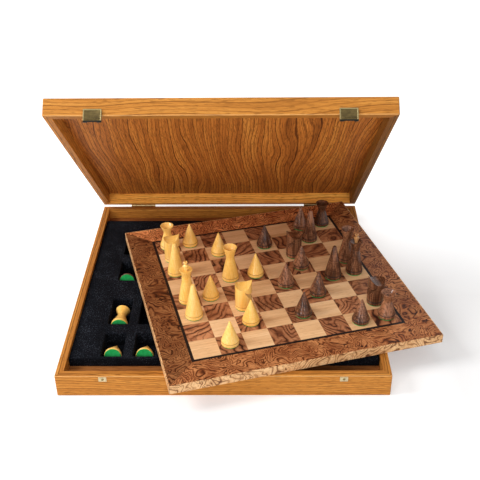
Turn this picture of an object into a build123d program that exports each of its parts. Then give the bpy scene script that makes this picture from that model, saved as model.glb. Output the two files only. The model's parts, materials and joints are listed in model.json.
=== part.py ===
from build123d import *
import math
import os

# Chess box with a loose board and 32 men. Millimetres, +Z up.
# The origin is the centre of the case's underside. +X is right and -Y is the front.
# The lid stands open, and the board lies across the rims with the men on it.

# Case
CASE_WIDTH = 442.0
CASE_DEPTH = 442.0
BASE_HEIGHT = 34.0
LID_HEIGHT = 23.5
WALL = 10.5
CORNER_ROUND = 1.6
RIM_ROUND = 1.0
BOTTOM_PANEL = 4.0
LID_PANEL = 6.0
PANEL_REBATE = 5.0
PANEL_CLEARANCE = 0.1
LID_OPEN_ANGLE = 44.4

# Foam and its rails
RAIL_WIDTH = 30.0
RAIL_HEIGHT = 12.0
FOAM_SHEET = 3.0
FOAM_HEIGHT = 22.0
FOAM_CLEARANCE = 0.4
POCKET_COLUMNS = 8
POCKET_PITCH = 43.7
POCKET_WIDTH = 30.0
PAWN_POCKET = 50.0
OFFICER_POCKET = 60.0
ROYAL_POCKET = 74.0
POCKET_ROUND = 3.0
FIRST_MARGIN_SHARE = 0.04
NEAR_GAP_SHARE = 0.158
MIDDLE_GAP_SHARE = 0.38
FAR_GAP_SHARE = 0.174
MAN_SEAT_GAP = 0.3
MAN_END_GAP = 4.0
DARK_PAWN_SHIFT = -2.4

# Hinges
HINGE_INSET = 69.0
HINGE_WIDTH = 42.0
LEAF_THICKNESS = 1.2
WEB_THICKNESS = 0.85
LEAF_HEIGHT = 15.0
BARREL_OFFSET = 3.5
KNUCKLE_RADIUS = 2.4
KNUCKLE_COUNT = 5
KNUCKLE_GAP = 0.3
LEAF_SETBACK = 1.5
HINGE_PIN_RADIUS = 1.2
HINGE_PIN_CLEARANCE = 0.08
LEAF_SCREW_SPACING = 26.0
SCREW_RADIUS = 1.2
SCREW_LENGTH = 8.0
SCREW_HEAD_RADIUS = 2.4

# Catches
CATCH_INSET = 63.0
CATCH_WIDTH = 23.0
CATCH_HEIGHT = 17.0
CATCH_ABOVE_RIM = 7.9
CATCH_PLATE = 0.8
CATCH_DEPTH = 3.4
CATCH_WALL_GAP = 0.5
CATCH_PIN_RADIUS = 0.6
CATCH_PIN_CLEARANCE = 0.08
CATCH_PIN_STANDOFF = 1.4
CATCH_PIN_DROP = 1.9
CATCH_SIDE_GAP = 0.3
CATCH_BEAD_RADIUS = 0.9
CATCH_BEAD_RISE = 4.6
CATCH_BEAD_INSET = 1.8
BRACKET_PLATE = 0.6
BRACKET_HEIGHT = 5.0
BRACKET_RISE = 0.9
BRACKET_EYE = 1.05
KEEPER_WIDTH = 10.5
KEEPER_HEIGHT = 7.2
KEEPER_TOP_DROP = 1.2
KEEPER_PLATE = 1.0
KEEPER_DOME_HEIGHT = 1.1
KEEPER_DOME_RADIUS = 1.9
NOTCH_CLEARANCE = 0.8

# Board
SQUARE = 37.0
SQUARE_COUNT = 8
INLAY_WIDTH = 4.0
BORDER_WIDTH = 37.0
BANDING = 1.0
BOARD_THICKNESS = 13.0
VENEER = 0.8
BOARD_CENTRE_X = 64.8
BOARD_BACK_GAP = 8.0
BOARD_TURN = 15.59
LIGHT_FACING = 0.0
DARK_FACING = -165.0

# Men
FELT_THICKNESS = 1.2
FELT_INSET = 0.6
FOOT_HEIGHT = 4.8
GROOVE = 0.6
PAWN_RADIUS = 12.3
PAWN_HEIGHT = 38.0
PAWN_TIP = 0.8
OFFICER_RADIUS = 12.7
WAIST_HEIGHT = 19.0
WAIST_RADIUS = 10.0
BISHOP_HEIGHT = 54.0
BISHOP_TIP = 2.4
ROOK_RADIUS = 12.4
ROOK_HEIGHT = 40.0
ROOK_NECK_HEIGHT = 27.0
ROOK_NECK_RADIUS = 5.8
CUP_RADIUS = 10.4
CUP_LIP = 1.0
CUP_HOLLOW = 1.0
ROOK_CUP_DEPTH = 7.0
QUEEN_HEIGHT = 56.0
QUEEN_NECK_HEIGHT = 37.5
QUEEN_NECK_RADIUS = 6.0
QUEEN_CUP_DEPTH = 9.0
KING_HEIGHT = 68.5
KING_NECK_HEIGHT = 40.5
KING_NECK_RADIUS = 6.2
KING_RING_RADIUS = 6.8
KING_COLLAR_RADIUS = 9.4
KING_CUP_DEPTH = 2.0
KING_HOLLOW = 0.6
FINIAL_RISE = 14.0
FINIAL_FOOT_RADIUS = 2.2
FINIAL_RING_RADIUS = 4.3
FINIAL_RING_RISE = 6.5
FINIAL_PINCH_RADIUS = 1.6
FINIAL_PINCH_RISE = 8.5
FINIAL_CAP_RADIUS = 3.0
FINIAL_CAP_RISE = 12.0
FINIAL_NOTCH = 1.4
KNIGHT_RADIUS = 12.0
KNIGHT_BACK_HEIGHT = 40.0
KNIGHT_PEAK_HEIGHT = 46.5
KNIGHT_DISH = 7.2
KNIGHT_THROAT_DEPTH = 9.3
KNIGHT_THROAT_HEIGHT = 32.0
KNIGHT_THROAT_WIDTH = 1.4
KNIGHT_CHIN_HEIGHT = 27.0
KNIGHT_CHEST_HEIGHT = 14.5

# Worked out from the sizes above
HALF_D = CASE_DEPTH / 2
INNER_W = CASE_WIDTH - 2 * WALL
INNER_D = CASE_DEPTH - 2 * WALL
FOAM_W = INNER_W - 2 * FOAM_CLEARANCE
FOAM_D = INNER_D - 2 * RAIL_WIDTH - 2 * FOAM_CLEARANCE
FOAM_FRONT = -FOAM_D / 2
POCKET_FLOOR = BOTTOM_PANEL + FOAM_SHEET
FOAM_TOP = POCKET_FLOOR + FOAM_HEIGHT
SPARE_DEPTH = FOAM_D - 2 * PAWN_POCKET - OFFICER_POCKET - ROYAL_POCKET
ROW_A = FOAM_FRONT + FIRST_MARGIN_SHARE * SPARE_DEPTH
ROW_B = ROW_A + PAWN_POCKET + NEAR_GAP_SHARE * SPARE_DEPTH
ROW_C = ROW_B + OFFICER_POCKET + MIDDLE_GAP_SHARE * SPARE_DEPTH
ROW_D = ROW_C + PAWN_POCKET + FAR_GAP_SHARE * SPARE_DEPTH
ROYAL_COLUMNS = (POCKET_COLUMNS // 2 - 1, POCKET_COLUMNS // 2)
HINGE_SPACING = CASE_WIDTH - 2 * HINGE_INSET
CATCH_SPACING = CASE_WIDTH - 2 * CATCH_INSET
BARREL_Y = HALF_D + BARREL_OFFSET
RIM = BASE_HEIGHT
CATCH_TOP = RIM + CATCH_ABOVE_RIM
CATCH_BOTTOM = CATCH_TOP - CATCH_HEIGHT
CATCH_PIN_Z = CATCH_TOP - CATCH_PIN_DROP
CATCH_PIN_Y = -HALF_D - CATCH_PIN_STANDOFF
KEEPER_TOP = RIM - KEEPER_TOP_DROP
KEEPER_Z = KEEPER_TOP - KEEPER_HEIGHT / 2
KING_COLLAR_HEIGHT = KING_HEIGHT - FINIAL_RISE
PLAY_WIDTH = SQUARE * SQUARE_COUNT
INLAY_OUTER = PLAY_WIDTH + 2 * INLAY_WIDTH
BORDER_OUTER = INLAY_OUTER + 2 * BORDER_WIDTH
BOARD_WIDTH = BORDER_OUTER + 2 * BANDING
TURN = math.radians(BOARD_TURN)
BOARD_REACH = BOARD_WIDTH / 2 * (math.cos(TURN) + math.sin(TURN))
BOARD_CENTRE_Y = HALF_D - BOARD_BACK_GAP - BOARD_REACH
BOARD_PLACE = Pos(BOARD_CENTRE_X, BOARD_CENTRE_Y, RIM) * Rot(0, 0, BOARD_TURN)


def box(x0, x1, y0, y1, z0, z1):
    """A box between two corners."""
    size = Box(x1 - x0, y1 - y0, z1 - z0)
    return Pos((x0 + x1) / 2, (y0 + y1) / 2, (z0 + z1) / 2) * size


def prism(points, z0, height):
    """A flat outline raised from z0."""
    outline = make_face(Polyline(*points, close=True))
    return Pos(0, 0, z0) * extrude(outline, height)


def single(shape):
    """The one solid of a result."""
    return shape.solids()[0]


def opened(shape):
    """A lid piece, modelled closed, swung up about the hinge axis."""
    hinge_axis = Axis((0, BARREL_Y, RIM), (1, 0, 0))
    return shape.rotate(hinge_axis, -LID_OPEN_ANGLE)


def mitre_fields(width, depth, strip):
    """Four trapezoids, front, back, left and right, that share mitred corners."""
    w, d = width / 2, depth / 2
    w_in, d_in = w - strip, d - strip
    return {
        "front": [(-w, -d), (w, -d), (w_in, -d_in), (-w_in, -d_in)],
        "back": [(-w, d), (w, d), (w_in, d_in), (-w_in, d_in)],
        "left": [(-w, -d), (-w, d), (-w_in, d_in), (-w_in, -d_in)],
        "right": [(w, -d), (w, d), (w_in, d_in), (w_in, -d_in)],
    }


def case_walls(z0, height, panel, panel_z):
    """Four mitred walls with rounded edges and a rebate for their panel."""
    outer = Pos(0, 0, z0 + height / 2) * Box(CASE_WIDTH, CASE_DEPTH, height)
    outer = fillet(outer.edges().filter_by(Axis.Z), CORNER_ROUND)
    levels = outer.edges().group_by(Axis.Z)
    outer = fillet(levels[0] + levels[-1], RIM_ROUND)
    ring = outer - Pos(0, 0, z0 + height / 2) * Box(INNER_W, INNER_D, 2 * height)
    ring -= Pos(0, 0, panel_z + panel / 2) * Box(
        INNER_W + 2 * PANEL_REBATE, INNER_D + 2 * PANEL_REBATE, panel
    )
    walls = {}
    for side, field in mitre_fields(CASE_WIDTH, CASE_DEPTH, WALL).items():
        walls[side] = single(ring & prism(field, z0, height))
    return walls


def case_panel(panel_z, panel):
    """A panel that lies in the walls' rebate."""
    width = INNER_W + 2 * PANEL_REBATE - 2 * PANEL_CLEARANCE
    depth = INNER_D + 2 * PANEL_REBATE - 2 * PANEL_CLEARANCE
    return Pos(0, 0, panel_z + panel / 2) * Box(width, depth, panel)


def stop_rails():
    """Two rails on the bottom panel, against the front and back walls."""
    y_out = INNER_D / 2
    y_in = y_out - RAIL_WIDTH
    top = BOTTOM_PANEL + RAIL_HEIGHT
    front = box(-INNER_W / 2, INNER_W / 2, -y_out, -y_in, BOTTOM_PANEL, top)
    back = box(-INNER_W / 2, INNER_W / 2, y_in, y_out, BOTTOM_PANEL, top)
    return [front, back]


def pocket_rows():
    """Each row's near end and length, and the length of its two royal pockets."""
    return [
        (ROW_A, PAWN_POCKET, PAWN_POCKET),
        (ROW_B, OFFICER_POCKET, ROYAL_POCKET),
        (ROW_C, PAWN_POCKET, PAWN_POCKET),
        (ROW_D, OFFICER_POCKET, ROYAL_POCKET),
    ]


def pocket_x(column):
    """The middle of a pocket column."""
    return (column - (POCKET_COLUMNS - 1) / 2) * POCKET_PITCH


def foam_insert():
    """The foam block with a pocket for each man."""
    block = box(-FOAM_W / 2, FOAM_W / 2, FOAM_FRONT, -FOAM_FRONT, POCKET_FLOOR, FOAM_TOP)
    pockets = []
    for near, length, royal_length in pocket_rows():
        for column in range(POCKET_COLUMNS):
            size = royal_length if column in ROYAL_COLUMNS else length
            outline = RectangleRounded(POCKET_WIDTH, size, POCKET_ROUND)
            pocket = extrude(outline, FOAM_HEIGHT)
            pockets.append(Pos(pocket_x(column), near + size / 2, POCKET_FLOOR) * pocket)
    return single(block - pockets)


def foam_sheet():
    """The pockets' floor."""
    return box(-FOAM_W / 2, FOAM_W / 2, FOAM_FRONT, -FOAM_FRONT, BOTTOM_PANEL, POCKET_FLOOR)


def x_cylinder(x0, x1, y, z, radius):
    """A cylinder along X."""
    rod = Rot(0, 90, 0) * Cylinder(radius, x1 - x0)
    return Pos((x0 + x1) / 2, y, z) * rod


def y_cylinder(x, y0, y1, z, radius):
    """A cylinder along Y."""
    rod = Rot(90, 0, 0) * Cylinder(radius, y1 - y0)
    return Pos(x, (y0 + y1) / 2, z) * rod


def hinge_leaf(x, side, knuckles):
    """A leaf on the back face with its knuckles. side is 1 for the lid and -1 for the base."""
    x0 = x - HINGE_WIDTH / 2
    z_near = RIM + side * LEAF_SETBACK
    z_far = RIM + side * (LEAF_SETBACK + LEAF_HEIGHT)
    z_low, z_high = min(z_near, z_far), max(z_near, z_far)
    leaf = box(x0, x0 + HINGE_WIDTH, HALF_D, HALF_D + LEAF_THICKNESS, z_low, z_high)
    pitch = HINGE_WIDTH / KNUCKLE_COUNT
    web_outer = RIM + side * KNUCKLE_RADIUS
    web_inner = web_outer - side * WEB_THICKNESS
    web_low, web_high = min(web_inner, web_outer), max(web_inner, web_outer)
    bore_radius = HINGE_PIN_RADIUS + HINGE_PIN_CLEARANCE
    bore = x_cylinder(x0, x0 + HINGE_WIDTH, BARREL_Y, RIM, bore_radius)
    for index in knuckles:
        start = x0 + index * pitch + KNUCKLE_GAP / 2
        end = start + pitch - KNUCKLE_GAP
        leaf += x_cylinder(start, end, BARREL_Y, RIM, KNUCKLE_RADIUS)
        leaf += box(start, end, HALF_D, BARREL_Y, web_low, web_high)
    leaf -= bore
    for screw_x in leaf_screw_x(x):
        leaf -= countersink(screw_x, leaf_screw_z(side))
    return single(leaf)


def leaf_screw_x(x):
    """A leaf's two screw places."""
    return [x - LEAF_SCREW_SPACING / 2, x + LEAF_SCREW_SPACING / 2]


def leaf_screw_z(side):
    """The height of a leaf's screws."""
    return RIM + side * (LEAF_SETBACK + LEAF_HEIGHT / 2 + KNUCKLE_RADIUS / 2)


def countersink(x, z):
    """A countersunk screw's head and the top of its shank, in the leaf's thickness."""
    head = Rot(90, 0, 0) * Cone(SCREW_HEAD_RADIUS, SCREW_RADIUS, LEAF_THICKNESS)
    return Pos(x, HALF_D + LEAF_THICKNESS / 2, z) * head


def leaf_screw(x, side):
    """A countersunk screw through a leaf into the back wall."""
    z = leaf_screw_z(side)
    shank = y_cylinder(x, HALF_D - SCREW_LENGTH, HALF_D, z, SCREW_RADIUS)
    return single(countersink(x, z) + shank)


def leaf_screws(side):
    """All the screws of the lid's leaves, side 1, or of the base's, side -1."""
    return [leaf_screw(x, side) for hinge in hinge_x() for x in leaf_screw_x(hinge)]


def hinge_x():
    """The middles of the two hinges."""
    return [-HINGE_SPACING / 2, HINGE_SPACING / 2]


def catch_x():
    """The middles of the two catches."""
    return [-CATCH_SPACING / 2, CATCH_SPACING / 2]


def catch_plate(x):
    """A pressed plate with side flanges, a notched foot and a bead, hung on a pin."""
    x0, x1 = x - CATCH_WIDTH / 2, x + CATCH_WIDTH / 2
    y_front = -HALF_D - CATCH_DEPTH
    y_face = y_front + CATCH_PLATE
    y_back = -HALF_D - CATCH_WALL_GAP
    plate = box(x0, x1, y_front, y_face, CATCH_BOTTOM, CATCH_TOP)
    eye = BRACKET_EYE
    for side in (x0, x1 - CATCH_PLATE):
        plate += box(side, side + CATCH_PLATE, y_face, y_back, CATCH_BOTTOM, CATCH_PIN_Z)
        plate += x_cylinder(side, side + CATCH_PLATE, CATCH_PIN_Y, CATCH_PIN_Z, eye)
        plate += box(side, side + CATCH_PLATE, y_face, CATCH_PIN_Y, CATCH_PIN_Z, CATCH_PIN_Z + eye)
    plate += box(x0, x1, y_face, y_back, CATCH_BOTTOM, CATCH_BOTTOM + CATCH_PLATE)
    half_notch = KEEPER_WIDTH / 2 + NOTCH_CLEARANCE
    foot_top = CATCH_BOTTOM + CATCH_PLATE
    plate -= box(x - half_notch, x + half_notch, y_face, y_back, CATCH_BOTTOM, foot_top)
    bead_z = CATCH_BOTTOM + CATCH_BEAD_RISE
    half_bead = CATCH_WIDTH / 2 - CATCH_BEAD_INSET
    bead = x_cylinder(x - half_bead, x + half_bead, y_front, bead_z, CATCH_BEAD_RADIUS)
    bead &= box(x0, x1, y_front - CATCH_BEAD_RADIUS, y_front, CATCH_BOTTOM, CATCH_TOP)
    plate += bead
    hole = CATCH_PIN_RADIUS + CATCH_PIN_CLEARANCE
    plate -= x_cylinder(x0, x1, CATCH_PIN_Y, CATCH_PIN_Z, hole)
    return single(plate)


def catch_bracket(x):
    """A bracket on the lid's front wall, with two ears that hold the catch pin."""
    half = CATCH_WIDTH / 2 - CATCH_PLATE - CATCH_SIDE_GAP
    z_low = CATCH_PIN_Z - BRACKET_HEIGHT
    y_plate = -HALF_D - BRACKET_PLATE
    bracket = box(x - half, x + half, y_plate, -HALF_D, z_low, CATCH_PIN_Z + BRACKET_RISE)
    for side in (x - half, x + half - CATCH_PLATE):
        bracket += x_cylinder(side, side + CATCH_PLATE, CATCH_PIN_Y, CATCH_PIN_Z, BRACKET_EYE)
        bracket += box(
            side, side + CATCH_PLATE, CATCH_PIN_Y, y_plate, CATCH_PIN_Z - BRACKET_EYE, CATCH_PIN_Z
        )
    bracket -= x_cylinder(x - half, x + half, CATCH_PIN_Y, CATCH_PIN_Z, CATCH_PIN_RADIUS)
    bracket -= y_cylinder(x, y_plate, -HALF_D, bracket_screw_z(), SCREW_RADIUS)
    return single(bracket)


def bracket_screw_z():
    """The height of a bracket's screw."""
    return CATCH_PIN_Z - BRACKET_HEIGHT / 2


def catch_pin(x):
    """The pin through a bracket's ears and its plate's flanges."""
    return x_cylinder(x - CATCH_WIDTH / 2, x + CATCH_WIDTH / 2, CATCH_PIN_Y, CATCH_PIN_Z, CATCH_PIN_RADIUS)


def bracket_screw(x):
    """A flat-headed screw that holds a bracket."""
    y_plate = -HALF_D - BRACKET_PLATE
    z = bracket_screw_z()
    screw = y_cylinder(x, y_plate, -HALF_D + SCREW_LENGTH, z, SCREW_RADIUS)
    screw += y_cylinder(x, y_plate - BRACKET_PLATE / 2, y_plate, z, SCREW_RADIUS + BRACKET_PLATE)
    return single(screw)


def keeper(x):
    """A keeper plate on the base's front wall."""
    half = KEEPER_WIDTH / 2
    y_front = -HALF_D - KEEPER_PLATE
    plate = box(x - half, x + half, y_front, -HALF_D, KEEPER_TOP - KEEPER_HEIGHT, KEEPER_TOP)
    return single(plate - y_cylinder(x, y_front, -HALF_D, KEEPER_Z, SCREW_RADIUS))


def keeper_screw(x):
    """A keeper's domed screw, which the catch plate's bead snaps over."""
    y_front = -HALF_D - KEEPER_PLATE
    screw = y_cylinder(x, y_front, -HALF_D + SCREW_LENGTH, KEEPER_Z, SCREW_RADIUS)
    head = Rot(90, 0, 0) * Cone(KEEPER_DOME_RADIUS, SCREW_RADIUS, KEEPER_DOME_HEIGHT)
    screw += Pos(x, y_front - KEEPER_DOME_HEIGHT / 2, KEEPER_Z) * head
    return single(screw)


def hinge_pin(x):
    """A hinge's pin, as long as its barrel."""
    return x_cylinder(x - HINGE_WIDTH / 2, x + HINGE_WIDTH / 2, BARREL_Y, RIM, HINGE_PIN_RADIUS)


def on_board(shape):
    """A board piece, modelled flat at the origin, laid across the rims."""
    return BOARD_PLACE * shape


def board_core():
    """The slab between the edge bands, under the veneers."""
    height = BOARD_THICKNESS - VENEER
    return on_board(Pos(0, 0, height / 2) * Box(BORDER_OUTER, BORDER_OUTER, height))


def board_strips(outer, strip, z0, height):
    """Four mitred strips round the board."""
    fields = mitre_fields(outer, outer, strip)
    return [on_board(single(prism(field, z0, height))) for field in fields.values()]


def board_inlay():
    """The black line round the squares."""
    z0 = BOARD_THICKNESS - VENEER
    line = extrude(Rectangle(INLAY_OUTER, INLAY_OUTER) - Rectangle(PLAY_WIDTH, PLAY_WIDTH), VENEER)
    return on_board(single(Pos(0, 0, z0) * line))


def square_place(column, row):
    """A square's middle, from the board's middle."""
    middle = (SQUARE_COUNT - 1) / 2
    return (column - middle) * SQUARE, (row - middle) * SQUARE


def board_squares(parity):
    """The light squares, parity 0, or the dark ones, parity 1."""
    z = BOARD_THICKNESS - VENEER / 2
    squares = []
    for column in range(SQUARE_COUNT):
        for row in range(SQUARE_COUNT):
            if (column + row) % 2 == parity:
                u, v = square_place(column, row)
                squares.append(on_board(Pos(u, v, z) * Box(SQUARE, SQUARE, VENEER)))
    return squares


def turned(foot_radius, *edges):
    """A turned body: a grooved foot, then the given edges up to the axis."""
    foot = FELT_THICKNESS + FOOT_HEIGHT
    start = Polyline(
        (0, FELT_THICKNESS),
        (foot_radius - FELT_INSET, FELT_THICKNESS),
        (foot_radius, FELT_THICKNESS + FELT_INSET),
        (foot_radius, foot),
        (foot_radius - GROOVE, foot + GROOVE / 2),
        (foot_radius - GROOVE / 2, foot + GROOVE),
    )
    wires = [start, *edges]
    end = wires[-1] @ 1
    axis_line = Line(end, (0, FELT_THICKNESS))
    face = make_face(Curve() + [*wires, axis_line])
    return single(revolve(Plane.XZ * face, Axis.Z))


def shoulder(foot_radius):
    """Where the edges of a turned body start, above its groove."""
    return foot_radius - GROOVE / 2, FELT_THICKNESS + FOOT_HEIGHT + GROOVE


def felt(foot_radius):
    """The felt disc under a man."""
    return Pos(0, 0, FELT_THICKNESS / 2) * Cylinder(foot_radius - FELT_INSET, FELT_THICKNESS)


def pawn():
    """A plain pointed cone."""
    side = Polyline(shoulder(PAWN_RADIUS), (PAWN_TIP, PAWN_HEIGHT), (0, PAWN_HEIGHT))
    return [turned(PAWN_RADIUS, side), felt(PAWN_RADIUS)]


def bishop():
    """A tall cone with a small flat tip."""
    waist = (WAIST_RADIUS, WAIST_HEIGHT)
    side = Polyline(shoulder(OFFICER_RADIUS), waist, (BISHOP_TIP, BISHOP_HEIGHT), (0, BISHOP_HEIGHT))
    return [turned(OFFICER_RADIUS, side), felt(OFFICER_RADIUS)]


def cup(neck_radius, neck_height, rim_height, cup_depth):
    """The edges of a flared head with a hollow top, from its neck to the axis."""
    middle_height = (neck_height + rim_height) / 2
    middle_radius = (neck_radius + CUP_RADIUS) / 2 - CUP_HOLLOW
    flare = ThreePointArc(
        (neck_radius, neck_height), (middle_radius, middle_height), (CUP_RADIUS, rim_height)
    )
    lip = Line((CUP_RADIUS, rim_height), (CUP_RADIUS - CUP_LIP, rim_height))
    bowl = Line((CUP_RADIUS - CUP_LIP, rim_height), (0, rim_height - cup_depth))
    return [flare, lip, bowl]


def rook():
    """A cone that narrows to a neck, then a flared cup."""
    neck = (ROOK_NECK_RADIUS, ROOK_NECK_HEIGHT)
    side = Line(shoulder(ROOK_RADIUS), neck)
    head = cup(ROOK_NECK_RADIUS, ROOK_NECK_HEIGHT, ROOK_HEIGHT, ROOK_CUP_DEPTH)
    return [turned(ROOK_RADIUS, side, *head), felt(ROOK_RADIUS)]


def queen():
    """A tall waisted body with a flared cup."""
    neck = (QUEEN_NECK_RADIUS, QUEEN_NECK_HEIGHT)
    side = Polyline(shoulder(OFFICER_RADIUS), (WAIST_RADIUS, WAIST_HEIGHT), neck)
    head = cup(QUEEN_NECK_RADIUS, QUEEN_NECK_HEIGHT, QUEEN_HEIGHT, QUEEN_CUP_DEPTH)
    return [turned(OFFICER_RADIUS, side, *head), felt(OFFICER_RADIUS)]


def king():
    """A waisted body with a ring and a collar, and a separate finial in its top."""
    ring_low = KING_NECK_HEIGHT - GROOVE
    ring_high = KING_NECK_HEIGHT + GROOVE
    side = Polyline(
        shoulder(OFFICER_RADIUS),
        (WAIST_RADIUS, WAIST_HEIGHT),
        (KING_NECK_RADIUS, ring_low),
        (KING_RING_RADIUS, ring_low),
        (KING_RING_RADIUS, ring_high),
        (KING_NECK_RADIUS, ring_high),
    )
    middle_height = (ring_high + KING_COLLAR_HEIGHT) / 2
    middle_radius = (KING_NECK_RADIUS + KING_COLLAR_RADIUS) / 2 - KING_HOLLOW
    flare = ThreePointArc(
        (KING_NECK_RADIUS, ring_high),
        (middle_radius, middle_height),
        (KING_COLLAR_RADIUS, KING_COLLAR_HEIGHT),
    )
    floor = KING_COLLAR_HEIGHT - KING_CUP_DEPTH
    top = Polyline(
        (KING_COLLAR_RADIUS, KING_COLLAR_HEIGHT),
        (KING_COLLAR_RADIUS - CUP_LIP, KING_COLLAR_HEIGHT),
        (FINIAL_RING_RADIUS, floor),
        (0, floor),
    )
    return [turned(OFFICER_RADIUS, side, flare, top), felt(OFFICER_RADIUS), finial(floor)]


def finial(foot_height):
    """The king's finial: a cone that flares to a sharp ring, a pinch and a notched cap."""
    ring_height = KING_COLLAR_HEIGHT + FINIAL_RING_RISE
    pinch_height = KING_COLLAR_HEIGHT + FINIAL_PINCH_RISE
    cap_height = KING_COLLAR_HEIGHT + FINIAL_CAP_RISE
    outline = Polyline(
        (0, foot_height),
        (FINIAL_FOOT_RADIUS, foot_height),
        (FINIAL_RING_RADIUS, ring_height),
        (FINIAL_PINCH_RADIUS, pinch_height),
        (FINIAL_CAP_RADIUS, cap_height),
        (FINIAL_CAP_RADIUS - FINIAL_NOTCH / 2, KING_HEIGHT),
        (0, KING_HEIGHT),
        close=True,
    )
    body = revolve(Plane.XZ * make_face(outline), Axis.Z)
    left, right = (-FINIAL_NOTCH, KING_HEIGHT), (FINIAL_NOTCH, KING_HEIGHT)
    notch = make_face(Polyline(left, right, (0, cap_height), close=True))
    cut = extrude(Plane.XZ * notch, 2 * FINIAL_CAP_RADIUS, both=True)
    return single(body - cut)


def knight():
    """A cylinder that looks towards +X: a deep dish in its top and a wedge for the throat."""
    body = turned(
        KNIGHT_RADIUS,
        Polyline(
            shoulder(KNIGHT_RADIUS),
            (KNIGHT_RADIUS, FELT_THICKNESS + FOOT_HEIGHT + 2 * GROOVE),
            (KNIGHT_RADIUS, KNIGHT_PEAK_HEIGHT),
            (0, KNIGHT_PEAK_HEIGHT),
        ),
    )
    reach = 2 * KNIGHT_RADIUS
    back = (-KNIGHT_RADIUS, KNIGHT_BACK_HEIGHT)
    peak = (KNIGHT_RADIUS, KNIGHT_PEAK_HEIGHT)
    dish = ((back[0] + peak[0]) / 2, (back[1] + peak[1]) / 2 - KNIGHT_DISH)
    above = 2 * KNIGHT_PEAK_HEIGHT
    top_edges = Curve() + [
        ThreePointArc(back, dish, peak),
        Polyline(peak, (KNIGHT_RADIUS, above), (-KNIGHT_RADIUS, above), back),
    ]
    body -= extrude(Plane.XZ * make_face(top_edges), reach, both=True)
    throat = KNIGHT_RADIUS - KNIGHT_THROAT_DEPTH
    wedge = Polyline(
        (throat, KNIGHT_THROAT_HEIGHT + KNIGHT_THROAT_WIDTH / 2),
        (KNIGHT_RADIUS, KNIGHT_CHIN_HEIGHT),
        (reach, KNIGHT_CHIN_HEIGHT),
        (reach, KNIGHT_CHEST_HEIGHT),
        (KNIGHT_RADIUS, KNIGHT_CHEST_HEIGHT),
        (throat, KNIGHT_THROAT_HEIGHT - KNIGHT_THROAT_WIDTH / 2),
        close=True,
    )
    body -= extrude(Plane.XZ * make_face(wedge), reach, both=True)
    return [single(body), felt(KNIGHT_RADIUS)]


def standing(column, row, across=0.0, along=0.0, facing=0.0):
    """A place on the board: a square, shares of a square off it, and the way the man looks."""
    u, v = square_place(column + across, row + along)
    return BOARD_PLACE * Pos(u, v, BOARD_THICKNESS) * Rot(0, 0, facing - BOARD_TURN)


def lying(solids, column, near, top_radius, foot_radius, height, shift=0.0):
    """A man laid in a pocket, foot towards the front, on his foot's edge and his head."""
    tilt = math.degrees(math.atan((foot_radius - top_radius) / height))
    laid = Compound(solids)
    laid = Rot(-90 - tilt, 0, 0) * laid
    bounds = laid.bounding_box()
    x = pocket_x(column) + shift
    y = near + MAN_END_GAP - bounds.min.Y
    z = POCKET_FLOOR + MAN_SEAT_GAP - bounds.min.Z
    return Pos(x, y, z) * laid


STANDING = {
    "light_rook_1": (rook, (0, 7)),
    "light_knight_1": (knight, (0, 6, 0, 0, LIGHT_FACING)),
    "light_bishop_1": (bishop, (0, 5, -0.062, -0.027)),
    "light_king": (king, (0, 3)),
    "light_bishop_2": (bishop, (0, 2, 0.038, -0.041)),
    "light_queen": (queen, (2, 4)),
    "light_knight_2": (knight, (2, 2, 0, 0, LIGHT_FACING)),
    "light_pawn_1": (pawn, (1, 7, -0.041, -0.043)),
    "light_pawn_2": (pawn, (2, 6, -0.014, -0.065)),
    "light_pawn_3": (pawn, (3, 4, 0.057, -0.014)),
    "light_pawn_4": (pawn, (1, 3, -0.065, -0.024)),
    "light_pawn_5": (pawn, (2, 1, 0.024, 0.027)),
    "light_pawn_6": (pawn, (1, 0, -0.046, 0.024)),
    "dark_rook_1": (rook, (7, 7)),
    "dark_bishop_1": (bishop, (6, 6, 0.049, -0.097)),
    "dark_knight_1": (knight, (5, 5, 0, -0.081, DARK_FACING)),
    "dark_queen": (queen, (7, 4)),
    "dark_king": (king, (7, 3, 0, 0.081)),
    "dark_bishop_2": (bishop, (6, 3, 0.049, -0.008)),
    "dark_knight_2": (knight, (7, 1, 0, -0.081, DARK_FACING)),
    "dark_rook_2": (rook, (7, 0, 0.081, 0)),
    "dark_pawn_1": (pawn, (6, 7)),
    "dark_pawn_2": (pawn, (4, 6, 0.027, -0.027)),
    "dark_pawn_3": (pawn, (5, 4, 0.027, 0.035)),
    "dark_pawn_4": (pawn, (4, 3, 0.03, -0.019)),
    "dark_pawn_5": (pawn, (5, 2, 0.062, 0.059)),
    "dark_pawn_6": (pawn, (4, 1, 0.086, -0.035)),
    "dark_pawn_7": (pawn, (6, 0, 0.016, -0.049)),
}
LYING = {
    "light_rook_2": (rook, 0, ROW_B, CUP_RADIUS, ROOK_RADIUS, ROOK_HEIGHT),
    "light_pawn_7": (pawn, 0, ROW_A, PAWN_TIP, PAWN_RADIUS, PAWN_HEIGHT),
    "light_pawn_8": (pawn, 1, ROW_A, PAWN_TIP, PAWN_RADIUS, PAWN_HEIGHT),
    "dark_pawn_8": (pawn, 0, ROW_C, PAWN_TIP, PAWN_RADIUS, PAWN_HEIGHT, DARK_PAWN_SHIFT),
}


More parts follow.
